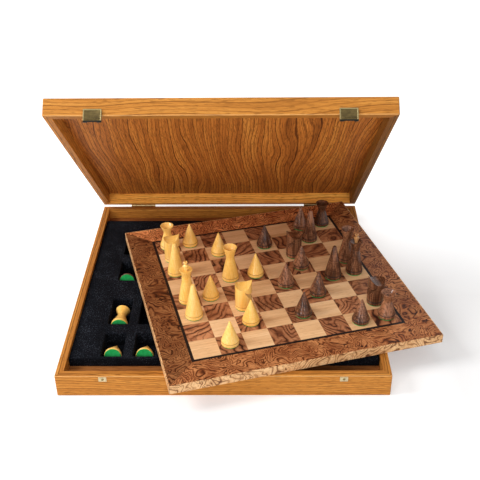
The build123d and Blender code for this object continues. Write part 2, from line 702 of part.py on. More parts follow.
def case_nodes():
    """The base, its foam and the lid."""
    base = case_walls(0, BASE_HEIGHT, BOTTOM_PANEL, 0)
    lid_top = RIM + LID_HEIGHT
    lid = case_walls(RIM, LID_HEIGHT, LID_PANEL, lid_top - LID_PANEL)
    base["back"] = single(base["back"] - leaf_screws(-1))
    base["front"] = single(base["front"] - [keeper_screw(x) for x in catch_x()])
    lid["back"] = single(lid["back"] - leaf_screws(1))
    lid["front"] = single(lid["front"] - [bracket_screw(x) for x in catch_x()])
    nodes = {f"base_{side}_wall": [wall] for side, wall in base.items()}
    nodes |= {f"lid_{side}_wall": [opened(wall)] for side, wall in lid.items()}
    nodes["base_bottom_panel"] = [case_panel(0, BOTTOM_PANEL)]
    nodes["lid_top_panel"] = [opened(case_panel(lid_top - LID_PANEL, LID_PANEL))]
    nodes["foam_stop_rails"] = stop_rails()
    nodes["foam_base_sheet"] = [foam_sheet()]
    nodes["foam_insert"] = [foam_insert()]
    return nodes


def hardware_nodes():
    """Hinges, catches, keepers and screws."""
    base_knuckles = range(0, KNUCKLE_COUNT, 2)
    lid_knuckles = range(1, KNUCKLE_COUNT, 2)
    base_screws = leaf_screws(-1) + [keeper_screw(x) for x in catch_x()]
    lid_screws = leaf_screws(1) + [bracket_screw(x) for x in catch_x()]
    left, right = catch_x()
    brackets = [catch_bracket(x) for x in catch_x()]
    pins = [catch_pin(x) for x in catch_x()]
    return {
        "hinge_base_leaves": [hinge_leaf(x, -1, base_knuckles) for x in hinge_x()],
        "hinge_lid_leaves": [opened(hinge_leaf(x, 1, lid_knuckles)) for x in hinge_x()],
        "hinge_pins": [hinge_pin(x) for x in hinge_x()],
        "base_screws": base_screws,
        "lid_screws": [opened(screw) for screw in lid_screws],
        "keeper_plates": [keeper(x) for x in catch_x()],
        "catch_brackets": [opened(piece) for piece in brackets + pins],
        "catch_left": [opened(catch_plate(left))],
        "catch_right": [opened(catch_plate(right))],
    }


def board_nodes():
    """The board's slab, veneers and edge bands."""
    veneer_z = BOARD_THICKNESS - VENEER
    return {
        "board_core": [board_core()],
        "board_border": board_strips(BORDER_OUTER, BORDER_WIDTH, veneer_z, VENEER),
        "board_inlay_line": [board_inlay()],
        "board_light_squares": board_squares(0),
        "board_dark_squares": board_squares(1),
        "board_edge_banding": board_strips(BOARD_WIDTH, BANDING, 0, BOARD_THICKNESS),
    }


def men_nodes():
    """The men on the squares and those in the foam."""
    nodes = {}
    for name, (shape, place) in STANDING.items():
        spot = standing(*place)
        nodes[name] = [spot * solid for solid in shape()]
    for name, (shape, *pocket) in LYING.items():
        nodes[name] = lying(shape(), *pocket).solids()
    return nodes


def main():
    """Writes one STEP file for each node."""
    os.makedirs("parts", exist_ok=True)
    nodes = case_nodes() | hardware_nodes() | board_nodes() | men_nodes()
    for name, solids in nodes.items():
        shape = solids[0] if len(solids) == 1 else Compound(solids)
        export_step(shape, f"parts/{name}.step")
    print(len(nodes), "nodes")


main()
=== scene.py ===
import json
import math

import bmesh
import bpy
from mathutils import Matrix, Vector

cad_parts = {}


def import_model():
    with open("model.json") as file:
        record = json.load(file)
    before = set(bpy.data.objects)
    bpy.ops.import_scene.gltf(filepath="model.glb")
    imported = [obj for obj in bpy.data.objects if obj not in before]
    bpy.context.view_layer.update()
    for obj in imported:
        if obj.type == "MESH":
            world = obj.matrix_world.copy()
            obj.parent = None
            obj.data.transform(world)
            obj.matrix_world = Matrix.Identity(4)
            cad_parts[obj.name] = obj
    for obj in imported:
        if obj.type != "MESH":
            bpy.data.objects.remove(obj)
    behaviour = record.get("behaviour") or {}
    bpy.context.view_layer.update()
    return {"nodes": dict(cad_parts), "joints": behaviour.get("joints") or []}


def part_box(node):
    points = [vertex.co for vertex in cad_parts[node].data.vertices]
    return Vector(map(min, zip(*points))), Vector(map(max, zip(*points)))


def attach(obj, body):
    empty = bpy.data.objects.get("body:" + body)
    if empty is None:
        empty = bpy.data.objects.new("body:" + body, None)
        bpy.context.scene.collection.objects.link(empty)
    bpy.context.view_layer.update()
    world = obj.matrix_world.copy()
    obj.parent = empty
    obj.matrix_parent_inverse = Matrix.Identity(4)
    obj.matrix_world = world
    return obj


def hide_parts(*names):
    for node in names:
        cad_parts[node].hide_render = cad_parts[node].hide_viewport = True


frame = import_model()

# Metres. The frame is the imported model's: +Z up, -Y the front, origin under the case's middle.
MM = 0.001

# The case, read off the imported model
HINGE = next(j for j in frame["joints"] if j["name"] == "lid_fold")
HINGE_POINT = Vector(HINGE["pos_m"])
LID_ANGLE = math.radians(-HINGE["range_deg"][0])
CASE_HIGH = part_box("base_back_wall")[1]
RIM = CASE_HIGH.z
HALF_CASE = CASE_HIGH.y
BOARD_LOW, BOARD_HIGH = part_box("board_core")
BOARD_CENTRE = (BOARD_LOW + BOARD_HIGH) / 2
FOAM_LOW, FOAM_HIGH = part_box("foam_insert")

# The board
BOARD_TURN = math.radians(15.59)
SQUARE = 37 * MM

# The foam: its pockets, and the rounding of its edges and of the sheet's
POCKET_PITCH = 43.7 * MM
POCKET_WIDTH = 30 * MM
POCKET_ROUND = 3 * MM
PAWN_POCKET = 50 * MM
OFFICER_POCKET = 60 * MM
ROYAL_POCKET = 74 * MM
FIRST_ROW_MARGIN = 5 * MM
NEAR_ROW_GAP = 20 * MM
MIDDLE_ROW_GAP = 48 * MM
FAR_ROW_GAP = 22 * MM
FOAM_EDGE = 1.0 * MM
SHEET_EDGE = 0.5 * MM

# The camera, fitted to the photograph
CAMERA_PLACE = (0.03555, -1.02032, 0.75410)
CAMERA_YAW = math.radians(-0.72)
CAMERA_PITCH = math.radians(32.27)
CAMERA_ROLL = math.radians(-0.57)
CAMERA_LENS = 60.99
CAMERA_SENSOR = 36.0
CAMERA_SHIFT = (-0.00233, -0.00729)

# The catch plates, in the lid's frame swung shut: the place of their middles, and their half sizes
CATCH_MIDDLE = 158 * MM
CATCH_HALF_WIDTH = 11.5 * MM
CATCH_HALF_HEIGHT = 8.5 * MM
CATCH_OVER_RIM = 7.9 * MM
CATCH_Z = RIM + CATCH_OVER_RIM - CATCH_HALF_HEIGHT
# Their face stands proud of the case, with a raised border, a step down to the sunk middle and a lip along
# the foot painted near black as shade
PLATE_PROUD = 3.4 * MM
PLATE_THICK = 0.8 * MM
PLATE_BORDER = 1.5 * MM
PLATE_EDGE = 0.18 * MM
STEP_WIDTH = 0.5 * MM
STEP_DEPTH = 0.35 * MM
SHADED_LIP_HEIGHT = 2.0 * MM
# The flanges behind the face end below its top, and leave a mouth in the middle of its foot
FLANGE_DROP = 1.9 * MM
MOUTH_HALF = 6.05 * MM
# The bead across the face
BEAD_HEIGHT = 4.6 * MM
BEAD_INSET = 2.4 * MM
BEAD_SUNK = 0.2 * MM
BEAD_RADIUS = 0.9 * MM

# The case's rims: a thin joint line inside the outer faces, and a painted highlight along the outer edge
JOINT_INSET = 4.6 * MM
JOINT_HALF = 0.45 * MM
RIM_LEVEL = 1.1 * MM
EDGE_HIGHLIGHT_WIDTH = 1.0 * MM

# How much the camera's view of the floor is lifted towards white: from beside the case to FLOOR_FADE off it,
# and behind the case's middle, where BACK_LIFT takes over within BACK_FADE
FLOOR_FADE = 0.30
FLOOR_LIFT = [(0.0, 0.33), (0.33, 0.12), (0.60, 0.18), (1.0, 0.45)]
BACK_FADE = 0.2
BACK_LIFT = 0.50
# A strip of floor behind the case isn't lifted: it fades out past the case's sides, and starts and ends
# behind the case's middle at shares of STRIP_REACH
STRIP_PAST = 0.04
STRIP_FADE = 0.16
STRIP_REACH = 0.8
STRIP_STOPS = [(0.27, 0.0), (0.285, 1.0), (0.36, 1.0), (0.60, 0.0)]


# ---------------------------------------------------------------- shader helper


class Shader:
    """Writes a node material as plain expressions."""

    def __init__(self, name):
        self.material = bpy.data.materials.new(name)
        self.material.use_nodes = True
        self.tree = self.material.node_tree
        self.tree.nodes.clear()

    def node(self, kind, **settings):
        made = self.tree.nodes.new(kind)
        for key, value in settings.items():
            setattr(made, key, value)
        return made

    def put(self, socket, value):
        """Links a socket, or sets a constant on it."""
        if isinstance(value, bpy.types.NodeSocket):
            self.tree.links.new(value, socket)
        elif value is not None:
            socket.default_value = value

    def math(self, operation, a, b=None, kind="ShaderNodeMath"):
        made = self.node(kind, operation=operation)
        self.put(made.inputs[0], a)
        self.put(made.inputs[1], b)
        return made.outputs[0]

    def vector_math(self, operation, a, b=None):
        return self.math(operation, a, b, "ShaderNodeVectorMath")

    def off(self, a, b):
        """How far two numbers are apart."""
        return self.math("ABSOLUTE", self.math("SUBTRACT", a, b))

    def weigh(self, *fields):
        """The sum of fields, each times its share."""
        (first, share), *others = fields
        total = self.math("MULTIPLY", first, share)
        for field, share in others:
            total = self.math("ADD", total, self.math("MULTIPLY", field, share))
        return total

    def place(self):
        """A point's place in its own object's frame."""
        return self.node("ShaderNodeTexCoord").outputs["Object"]

    def apart(self, vector):
        """A vector's three parts."""
        made = self.node("ShaderNodeSeparateXYZ")
        self.put(made.inputs[0], vector)
        return made.outputs

    def join(self, x, y, z):
        made = self.node("ShaderNodeCombineXYZ")
        for socket, value in zip(made.inputs, (x, y, z)):
            self.put(socket, value)
        return made.outputs[0]

    def turn(self, vector, axis, centre, angle):
        made = self.node("ShaderNodeVectorRotate", rotation_type=axis)
        self.put(made.inputs["Vector"], vector)
        self.put(made.inputs["Center"], centre)
        self.put(made.inputs["Angle"], angle)
        return made.outputs[0]

    def noise(self, vector, stretch=(1, 1, 1), scale=1.0, detail=2.0, rough=0.5, distort=0.0):
        made = self.node("ShaderNodeTexNoise")
        self.put(made.inputs["Vector"], self.vector_math("MULTIPLY", vector, stretch))
        self.put(made.inputs["Scale"], scale)
        self.put(made.inputs["Detail"], detail)
        self.put(made.inputs["Roughness"], rough)
        self.put(made.inputs["Distortion"], distort)
        return made.outputs["Fac"]

    def cells(self, vector, scale):
        made = self.node("ShaderNodeTexVoronoi")
        self.put(made.inputs["Vector"], vector)
        self.put(made.inputs["Scale"], scale)
        return made.outputs["Distance"]

    def dice(self, vector):
        """A random number and colour for each place."""
        made = self.node("ShaderNodeTexWhiteNoise", noise_dimensions="3D")
        self.put(made.inputs["Vector"], vector)
        return made.outputs["Value"], made.outputs["Color"]

    def ramp(self, factor, stops):
        """Colours, or greys, at places from 0 to 1."""
        made = self.node("ShaderNodeValToRGB")
        elements = made.color_ramp.elements
        while len(elements) < len(stops):
            elements.new(0.5)
        for element, (place, value) in zip(elements, stops):
            element.position = place
            grey = isinstance(value, (int, float))
            element.color = (value, value, value, 1) if grey else (*value, 1)
        self.put(made.inputs[0], factor)
        return made.outputs[0]

    def mix(self, factor, a, b, blend="MIX"):
        made = self.node("ShaderNodeMix", data_type="RGBA", blend_type=blend)
        self.put(made.inputs[0], factor)
        for socket, value in ((made.inputs[6], a), (made.inputs[7], b)):
            self.put(socket, (*value, 1) if isinstance(value, tuple) else value)
        return made.outputs[2]

    def bump(self, height, strength, distance):
        made = self.node("ShaderNodeBump")
        self.put(made.inputs["Strength"], strength)
        self.put(made.inputs["Distance"], distance)
        self.put(made.inputs["Height"], height)
        return made.outputs[0]

    def finish(self, colour, rough, normal, **more):
        """The surface, and the finished material."""
        surface = self.node("ShaderNodeBsdfPrincipled")
        self.put(surface.inputs["Base Color"], colour)
        self.put(surface.inputs["Roughness"], rough)
        self.put(surface.inputs["Normal"], normal)
        for key, value in more.items():
            self.put(surface.inputs[key.replace("_", " ")], value)
        output = self.node("ShaderNodeOutputMaterial")
        self.tree.links.new(surface.outputs[0], output.inputs[0])
        return self.material


# ---------------------------------------------------------------- places


def base_place(sh):
    """The case's own frame."""
    return sh.place()


def lid_place(sh):
    """The lid's frame, swung shut."""
    return sh.turn(sh.place(), "X_AXIS", HINGE_POINT, LID_ANGLE)


def board_place(sh):
    """The board's frame: its middle at 0, its sides along X and Y."""
    moved = sh.vector_math("SUBTRACT", sh.place(), (BOARD_CENTRE.x, BOARD_CENTRE.y, 0))
    return sh.turn(moved, "Z_AXIS", (0, 0, 0), -BOARD_TURN)


def along_x(sh, place, shift):
    """Grain along X, from a place shifted in the tree."""
    return sh.vector_math("ADD", place, shift)


def along_y(sh, place, shift):
    """Grain along Y, from a place shifted in the tree."""
    parts = sh.apart(sh.vector_math("ADD", place, shift))
    return sh.join(parts[1], parts[0], parts[2])


def along_z(sh, place):
    """Grain along Z."""
    parts = sh.apart(place)
    return sh.join(parts[2], parts[0], parts[1])


# ---------------------------------------------------------------- wood


def level_line(sh, level, width, soft):
    """1 on the thin lines where a field passes a whole number, else 0."""
    share = sh.math("FRACT", level)
    near = sh.math("SUBTRACT", 0.5, sh.off(share, 0.5))
    return sh.ramp(near, [(0.0, 1.0), (width, 1.0), (width + soft, 0.0)])


def growth(sh, p, gap, sway, reach, ripple):
    """A field that rises by one from each growth line to the next, slowly wandering."""
    parts = sh.apart(p)
    drift = sh.noise(p, (2.2, reach, reach), detail=1.5)
    waves = sh.noise(p, (12, 60, 60), detail=3.0)
    level = sh.math("DIVIDE", parts[1], gap)
    level = sh.math("ADD", level, sh.math("MULTIPLY", drift, sway))
    level = sh.math("ADD", level, sh.math("DIVIDE", parts[2], gap))
    return sh.math("ADD", level, sh.math("MULTIPLY", waves, ripple))


WOOD_ROUGH = 0.44
EDGE_HIGHLIGHT_WOOD = (0.88, 0.54, 0.24)


def veneer(name, place, grain, shift, colours, gap, sway, reach=14.0, ripple=0.5, bold=1.0, line=None):
    """A satin wood: dark growth lines, finer lines, fibres and short pores along the grain."""
    sh = Shader(name)
    spot = place(sh)
    p = grain(sh, spot, shift)
    dark, middle, light = colours
    level = growth(sh, p, gap, sway, reach, ripple)
    share = sh.math("FRACT", level)
    tone = sh.ramp(share, [(0.0, 0.80), (0.25, 0.92), (0.60, 0.62), (0.86, 0.30), (1.0, 0.80)])
    cloud = sh.noise(p, (3, 42, 42), detail=3.0)
    fibre = sh.noise(p, (22, 760, 760), detail=4.0, rough=0.70)
    blend = sh.weigh((tone, 0.18), (cloud, 0.52), (fibre, 0.50))
    blend = sh.math("SUBTRACT", blend, 0.13)
    colour = sh.ramp(blend, [(0.22, dark), (0.50, middle), (0.78, light)])
    mask = sh.noise(p, (5, 45, 45), detail=2.0)
    strength = sh.ramp(mask, [(0.34, 0.15), (0.54, 0.90 * bold)])
    ink = tuple(0.45 * c for c in dark)
    late = level_line(sh, level, 0.014, 0.036)
    colour = sh.mix(sh.math("MULTIPLY", late, strength), colour, ink)
    inner = level_line(sh, sh.math("MULTIPLY", level, 3.0), 0.04, 0.12)
    inner = sh.math("MULTIPLY", inner, sh.ramp(fibre, [(0.35, 0.15 * bold), (0.62, 0.85 * bold)]))
    colour = sh.mix(inner, colour, tuple(0.75 * c for c in dark))
    hair = level_line(sh, sh.math("MULTIPLY", level, 8.0), 0.06, 0.14)
    hair = sh.math("MULTIPLY", hair, sh.ramp(cloud, [(0.35, 0.05), (0.65, 0.60)]))
    colour = sh.mix(hair, colour, dark)
    dash = sh.noise(p, (75, 900, 900), detail=1.0)
    pore = sh.ramp(dash, [(0.0, 1.0), (0.36, 1.0), (0.45, 0.0)])
    colour = sh.mix(sh.math("MULTIPLY", pore, 0.48), colour, ink)
    if line is not None:
        groove, inside, edge_highlight = line(sh, spot)
        # A lighter colour along the rims' outer edge: a painted highlight of the rounded edge.
        colour = sh.mix(sh.math("MULTIPLY", edge_highlight, 0.32), colour, EDGE_HIGHLIGHT_WOOD)
        colour = sh.mix(sh.math("MULTIPLY", inside, 0.35), colour, dark)
        colour = sh.mix(groove, colour, tuple(0.3 * c for c in dark))
    height = sh.math("SUBTRACT", fibre, sh.math("MULTIPLY", pore, 0.8))
    normal = sh.bump(height, 0.12, 0.0004)
    roughness = sh.math("ADD", WOOD_ROUGH, sh.math("MULTIPLY", cloud, 0.14))
    return sh.finish(colour, roughness, normal, Specular_IOR_Level=0.12)


def rim_line(sh, spot):
    """Where a place is on the rims: the thin joint line, the strip inside it, and the outer edge, where a
    highlight is painted.
    """
    parts = sh.apart(spot)
    reach = sh.math("MAXIMUM", sh.math("ABSOLUTE", parts[0]), sh.math("ABSOLUTE", parts[1]))
    inset = sh.math("SUBTRACT", HALF_CASE - JOINT_INSET, reach)
    near = sh.math("LESS_THAN", sh.math("ABSOLUTE", inset), JOINT_HALF)
    level = sh.math("LESS_THAN", sh.off(parts[2], RIM), RIM_LEVEL)
    inside = sh.math("GREATER_THAN", inset, 0.0)
    groove = sh.math("MULTIPLY", sh.math("MULTIPLY", near, level), 0.8)
    off_edge = sh.math("DIVIDE", sh.math("SUBTRACT", HALF_CASE, reach), EDGE_HIGHLIGHT_WIDTH)
    edge = sh.ramp(off_edge, [(0.4, 1.0), (0.9, 0.0)])
    return groove, sh.math("MULTIPLY", inside, level), sh.math("MULTIPLY", edge, level)


CASE_WOOD = ((0.36, 0.118, 0.018), (0.64, 0.255, 0.044), (0.84, 0.400, 0.090))
PANEL_WOOD = ((0.110, 0.026, 0.006), (0.50, 0.160, 0.026), (0.84, 0.350, 0.062))
RAIL_WOOD = ((0.16, 0.052, 0.014), (0.33, 0.115, 0.028), (0.48, 0.190, 0.055))
# How light each wall's wood is: partly each piece's own tone, partly painted light and shade, with the lid's
# back wall painted much lighter and its right wall much darker than the lamps light them
WALL_TONES_AND_PAINTED_LIGHT = {
    "base_front": 0.90,
    "base_back": 0.90,
    "base_left": 0.92,
    "base_right": 0.80,
    "lid_front": 0.82,
    "lid_back": 1.65,
    "lid_left": 0.96,
    "lid_right": 0.42,
}


def toned(colours, tone):
    """The colours, lighter or darker by a factor."""
    return tuple(tuple(min(0.95, tone * c) for c in colour) for colour in colours)


def case_materials():
    """The walls', panels' and rails' wood, each cut from its own place in the tree."""
    made = {}
    # Each wall's tone factor is partly its own wood and partly painted light and shade.
    for index, (wall, tone) in enumerate(WALL_TONES_AND_PAINTED_LIGHT.items()):
        part, side = wall.split("_")
        place = base_place if part == "base" else lid_place
        grain = along_x if side in ("front", "back") else along_y
        shift = (0.37 * index, 0.013 * index, 0.0)
        made[f"{wall}_wall"] = veneer(
            wall, place, grain, shift, toned(CASE_WOOD, tone),
            gap=13 * MM, sway=5.5, reach=11.0, ripple=0.15, bold=1.1, line=rim_line,
        )
    made["lid_top_panel"] = veneer(
        "lid_panel", lid_place, along_y, (0.07, 0.2, 0.0), PANEL_WOOD,
        gap=16 * MM, sway=5.5, reach=10.0, ripple=0.25,
    )
    made["base_bottom_panel"] = veneer(
        "bottom_panel", base_place, along_x, (0.1, 0.0, 0.0), PANEL_WOOD,
        gap=16 * MM, sway=5.0, reach=10.0, ripple=0.25,
    )
    made["foam_stop_rails"] = veneer(
        "rails", base_place, along_x, (0.6, 0.0, 0.0), RAIL_WOOD, gap=8 * MM, sway=6.0, reach=20.0
    )
    return made


# ---------------------------------------------------------------- board


def square_cell(sh, spot):
    """Which square a place is on, and its random numbers."""
    cell = sh.vector_math("FLOOR", sh.vector_math("DIVIDE", spot, (SQUARE, SQUARE, 1.0)))
    return sh.dice(cell)


def light_squares():
    """Pale maple with fine straight grain, each square cut from its own place."""
    sh = Shader("maple_squares")
    spot = board_place(sh)
    value, colour3 = square_cell(sh, spot)
    shift = sh.vector_math("MULTIPLY", colour3, (3.0, 1.0, 0.4))
    p = sh.vector_math("ADD", spot, shift)
    fibre = sh.noise(p, (12, 520, 520), detail=4.0, rough=0.6)
    band = sh.noise(p, (4, 90, 90), detail=2.0)
    dash = sh.noise(p, (90, 1000, 1000), detail=1.0)
    fleck = sh.ramp(dash, [(0.0, 1.0), (0.32, 1.0), (0.40, 0.0)])
    level = sh.weigh((fibre, 0.50), (band, 0.36), (value, 0.16))
    stops = [(0.30, (0.60, 0.320, 0.140)), (0.52, (0.78, 0.480, 0.245)), (0.74, (0.90, 0.610, 0.350))]
    colour = sh.ramp(level, stops)
    colour = sh.mix(sh.math("MULTIPLY", fleck, 0.35), colour, (0.42, 0.20, 0.08))
    normal = sh.bump(fibre, 0.06, 0.0003)
    return sh.finish(colour, 0.44, normal, Specular_IOR_Level=0.18)


def figure_lines(sh, p, slope, amount, scale, width, soft):
    """Squiggly dark lines: the level lines of a slope that a swirling field bends."""
    parts = sh.apart(p)
    field = sh.noise(p, (1, 1, 1), scale, detail=2.0, rough=0.5, distort=0.9)
    level = sh.weigh((field, amount), (parts[0], slope[0]), (parts[1], slope[1]))
    return level, level_line(sh, level, width, soft)


def figured_wood(sh, p, colours, slope, amount, scale, width=0.03):
    """Swirling figured wood: bold lines, finer lines between, and cloudy colour."""
    ink, dark, middle, light = colours
    level, bold = figure_lines(sh, p, slope, amount, scale, width, 0.13)
    share = sh.math("FRACT", level)
    tone = sh.ramp(share, [(0.0, 0.20), (0.3, 0.75), (0.6, 0.95), (1.0, 0.20)])
    cloud = sh.noise(p, (1, 1, 1), 40.0, detail=5.0, rough=0.65)
    blend = sh.weigh((tone, 0.40), (cloud, 0.64))
    colour = sh.ramp(blend, [(0.30, dark), (0.52, middle), (0.78, light)])
    elsewhere = sh.vector_math("ADD", p, (0.31, 0.17, 0.05))
    _, fine = figure_lines(sh, elsewhere, slope, amount, scale * 1.9, 0.03, 0.14)
    colour = sh.mix(sh.math("MULTIPLY", fine, 0.45), colour, ink)
    mask = sh.noise(p, (1, 1, 1), 42.0, detail=2.0)
    strength = sh.ramp(mask, [(0.34, 0.10), (0.58, 0.98)])
    return sh.mix(sh.math("MULTIPLY", bold, strength), colour, ink), bold


def dark_squares():
    """Figured walnut, each square cut from its own place and turned its own way."""
    sh = Shader("walnut_squares")
    spot = board_place(sh)
    value, colour3 = square_cell(sh, spot)
    p = sh.turn(spot, "Z_AXIS", (0, 0, 0), sh.math("MULTIPLY", value, 2.6))
    p = sh.vector_math("ADD", p, sh.vector_math("MULTIPLY", colour3, (2.0, 2.0, 1.0)))
    colours = ((0.030, 0.009, 0.006), (0.140, 0.042, 0.018), (0.300, 0.105, 0.044), (0.52, 0.225, 0.100))
    colour, figure = figured_wood(sh, p, colours, slope=(25.0, 90.0), amount=8.0, scale=14.0, width=0.04)
    shade = sh.ramp(value, [(0.0, 0.85), (1.0, 1.15)])
    colour = sh.mix(1.0, colour, shade, "MULTIPLY")
    normal = sh.bump(figure, 0.04, 0.0003)
    return sh.finish(colour, 0.42, normal, Specular_IOR_Level=0.14)


def strip_sides(sh, spot):
    """Which of the four mitred strips a place is on, 1 or 0 for each, and how far it is off a mitre."""
    parts = sh.apart(spot)
    wide = sh.math("ABSOLUTE", parts[0])
    deep = sh.math("ABSOLUTE", parts[1])
    flank = sh.math("GREATER_THAN", wide, deep)
    ends = sh.math("SUBTRACT", 1.0, flank)
    right = sh.math("MULTIPLY", flank, sh.math("GREATER_THAN", parts[0], 0.0))
    left = sh.math("SUBTRACT", flank, right)
    back = sh.math("MULTIPLY", ends, sh.math("GREATER_THAN", parts[1], 0.0))
    front = sh.math("SUBTRACT", ends, back)
    return front, back, left, right, sh.off(wide, deep)


BURL = ((0.014, 0.004, 0.002), (0.120, 0.028, 0.009), (0.320, 0.092, 0.029), (0.70, 0.290, 0.105))
EDGE_BURL = ((0.130, 0.044, 0.018), (0.36, 0.160, 0.058), (0.64, 0.340, 0.145), (0.86, 0.540, 0.270))
MITRE_HALF = 0.5 * MM


def burl(name, colours, tones_and_painted_light, scale):
    """Reddish walnut burl on four mitred strips, each with its own tone, partly the strip's own wood and
    partly painted light and shade, and a dark line at each mitre.
    """
    sh = Shader(name)
    spot = board_place(sh)
    front, back, left, right, off_mitre = strip_sides(sh, spot)
    shift = sh.join(
        sh.math("MULTIPLY", front, 0.7), sh.math("MULTIPLY", left, 0.9), sh.math("MULTIPLY", back, 0.8)
    )
    p = sh.vector_math("ADD", spot, shift)
    colour, figure = figured_wood(sh, p, colours, slope=(35.0, 80.0), amount=14.0, scale=scale)
    # Each strip's tone is partly its own wood and partly painted light and shade.
    shade = sh.weigh(*zip((front, back, left, right), tones_and_painted_light))
    colour = sh.mix(1.0, colour, shade, "MULTIPLY")
    mitre = sh.math("LESS_THAN", off_mitre, MITRE_HALF)
    colour = sh.mix(sh.math("MULTIPLY", mitre, 0.5), colour, (0.025, 0.008, 0.006))
    normal = sh.bump(figure, 0.04, 0.0003)
    return sh.finish(colour, 0.42, normal, Specular_IOR_Level=0.14)


def black_line():
    """The dyed inlay line."""
    sh = Shader("black_inlay")
    spot = board_place(sh)
    fibre = sh.noise(spot, (18, 900, 900), detail=3.0)
    colour = sh.ramp(fibre, [(0.2, (0.006, 0.004, 0.004)), (0.8, (0.020, 0.013, 0.011))])
    return sh.finish(colour, 0.42, sh.bump(fibre, 0.05, 0.0003), Specular_IOR_Level=0.1)


def board_materials():
    """The board's veneers, slab and edge bands."""
    return {
        "board_light_squares": light_squares(),
        "board_dark_squares": dark_squares(),
        # The back strip's tone is painted lighter where the lid shades it.
        "board_border": burl("burl_border", BURL, tones_and_painted_light=(0.84, 1.40, 0.52, 0.84), scale=31.0),
        "board_inlay_line": black_line(),
        "board_edge_banding": burl("burl_edge", EDGE_BURL, tones_and_painted_light=(1.0, 1.0, 1.1, 1.0), scale=24.0),
        "board_core": veneer(
            "board_slab", board_place, along_y, (0.2, 0.0, 0.0), PANEL_WOOD, gap=8 * MM, sway=6.0
        ),
    }


# ---------------------------------------------------------------- foam, felt, brass


def foam_material():
    """Closed-cell foam: near black with a fine pale speckle."""
    sh = Shader("foam")
    spot = sh.place()
    grit = sh.noise(spot, (1, 1, 1), 650.0, detail=3.0, rough=0.75)
    cell = sh.cells(spot, 600.0)
    cloud = sh.noise(spot, (1, 1, 1), 45.0, detail=2.0)
    level = sh.weigh((grit, 0.85), (cloud, 0.15))
    stops = [(0.40, (0.0012, 0.0014, 0.0022)), (0.56, (0.005, 0.006, 0.009)), (0.66, (0.060, 0.068, 0.085))]
    colour = sh.ramp(level, stops)
    normal = sh.bump(sh.math("ADD", cell, grit), 0.6, 0.0008)
    return sh.finish(colour, 0.95, normal, Specular_IOR_Level=0.08)


def felt_material():
    """Green felt with a short matted pile."""
    sh = Shader("green_felt")
    spot = sh.place()
    pile = sh.noise(spot, (1, 1, 1), 1500.0, detail=3.0, rough=0.7)
    patch = sh.noise(spot, (1, 1, 1), 160.0, detail=2.0)
    level = sh.weigh((pile, 0.6), (patch, 0.4))
    stops = [(0.30, (0.004, 0.17, 0.036)), (0.50, (0.012, 0.34, 0.076)), (0.72, (0.05, 0.54, 0.15))]
    colour = sh.ramp(level, stops)
    normal = sh.bump(pile, 0.6, 0.0004)
    return sh.finish(colour, 0.95, normal, Sheen_Weight=0.15, Sheen_Roughness=0.5, Specular_IOR_Level=0.10)


def brass_material(name, tint, rough):
    """Brushed brass, slightly darkened."""
    sh = Shader(name)
    spot = sh.place()
    brush = sh.noise(spot, (40, 1800, 1800), detail=2.0)
    stain = sh.noise(spot, (1, 1, 1), 260.0, detail=3.0)
    level = sh.weigh((brush, 0.4), (stain, 0.6))
    dark = tuple(0.6 * c for c in tint)
    colour = sh.ramp(level, [(0.30, dark), (0.62, tint)])
    roughness = sh.math("ADD", sh.math("MULTIPLY", stain, 0.20), rough - 0.10)
    normal = sh.bump(brush, 0.12, 0.0002)
    return sh.finish(colour, roughness, normal, Metallic=1.0)


def catch_material():
    """The catch plates: olive-dark brass, lighter on the border, and painted near black on the lip as shade.
    """
    sh = Shader("catch_brass")
    spot = sh.place()
    parts = sh.apart(spot)
    brush = sh.noise(spot, (50, 1500, 1500), detail=2.0)
    stain = sh.noise(spot, (1, 1, 1), 220.0, detail=3.0)
    level = sh.weigh((brush, 0.45), (stain, 0.55))
    colour = sh.ramp(level, [(0.32, (0.075, 0.052, 0.020)), (0.64, (0.165, 0.118, 0.042))])
    wide = sh.off(sh.math("ABSOLUTE", parts[0]), CATCH_MIDDLE)
    wide = sh.math("SUBTRACT", wide, CATCH_HALF_WIDTH - PLATE_BORDER)
    high = sh.math("SUBTRACT", sh.off(parts[2], CATCH_Z), CATCH_HALF_HEIGHT - PLATE_BORDER)
    border = sh.math("GREATER_THAN", sh.math("MAXIMUM", wide, high), 0.0)
    colour = sh.mix(sh.math("MULTIPLY", border, 0.6), colour, (0.42, 0.34, 0.16))
    # Painted shade: the lip along the plate's foot is painted near black.
    lip = sh.math("LESS_THAN", parts[2], CATCH_Z - CATCH_HALF_HEIGHT + SHADED_LIP_HEIGHT)
    colour = sh.mix(sh.math("MULTIPLY", lip, 0.97), colour, (0.010, 0.012, 0.012))
    roughness = sh.math("ADD", sh.math("MULTIPLY", stain, 0.20), 0.34)
    normal = sh.bump(brush, 0.10, 0.0002)
    return sh.finish(colour, roughness, normal, Metallic=0.7, Specular_IOR_Level=0.3)


# ---------------------------------------------------------------- men

# In millimetres, as all the men's outlines are: radii, and heights above what the man stands on
FELT = 1.2
FELT_INSET = 0.6
FOOT_TOP = 6.0
GROOVE = 0.6
GROOVE_HEIGHT = FOOT_TOP + 0.25
FEET = {"pawn": 12.3, "bishop": 12.7, "rook": 12.4, "queen": 12.7, "king": 12.7, "knight": 12.0}
PAWN_TOP = 38.0
PAWN_TIP = 0.8
BISHOP_TOP = 54.0
ROOK_TOP = 40.0
QUEEN_TOP = 56.0
CUP_RIM = 10.4
KING_TOP = 68.5
KING_CAP = 54.5
FINIAL_SEAT = 52.5
KNIGHT_BACK = 40.0
KNIGHT_PEAK = 46.5

# Which way the knights look, from +X
FACING = {"light": 0.0, "dark": math.radians(-165)}

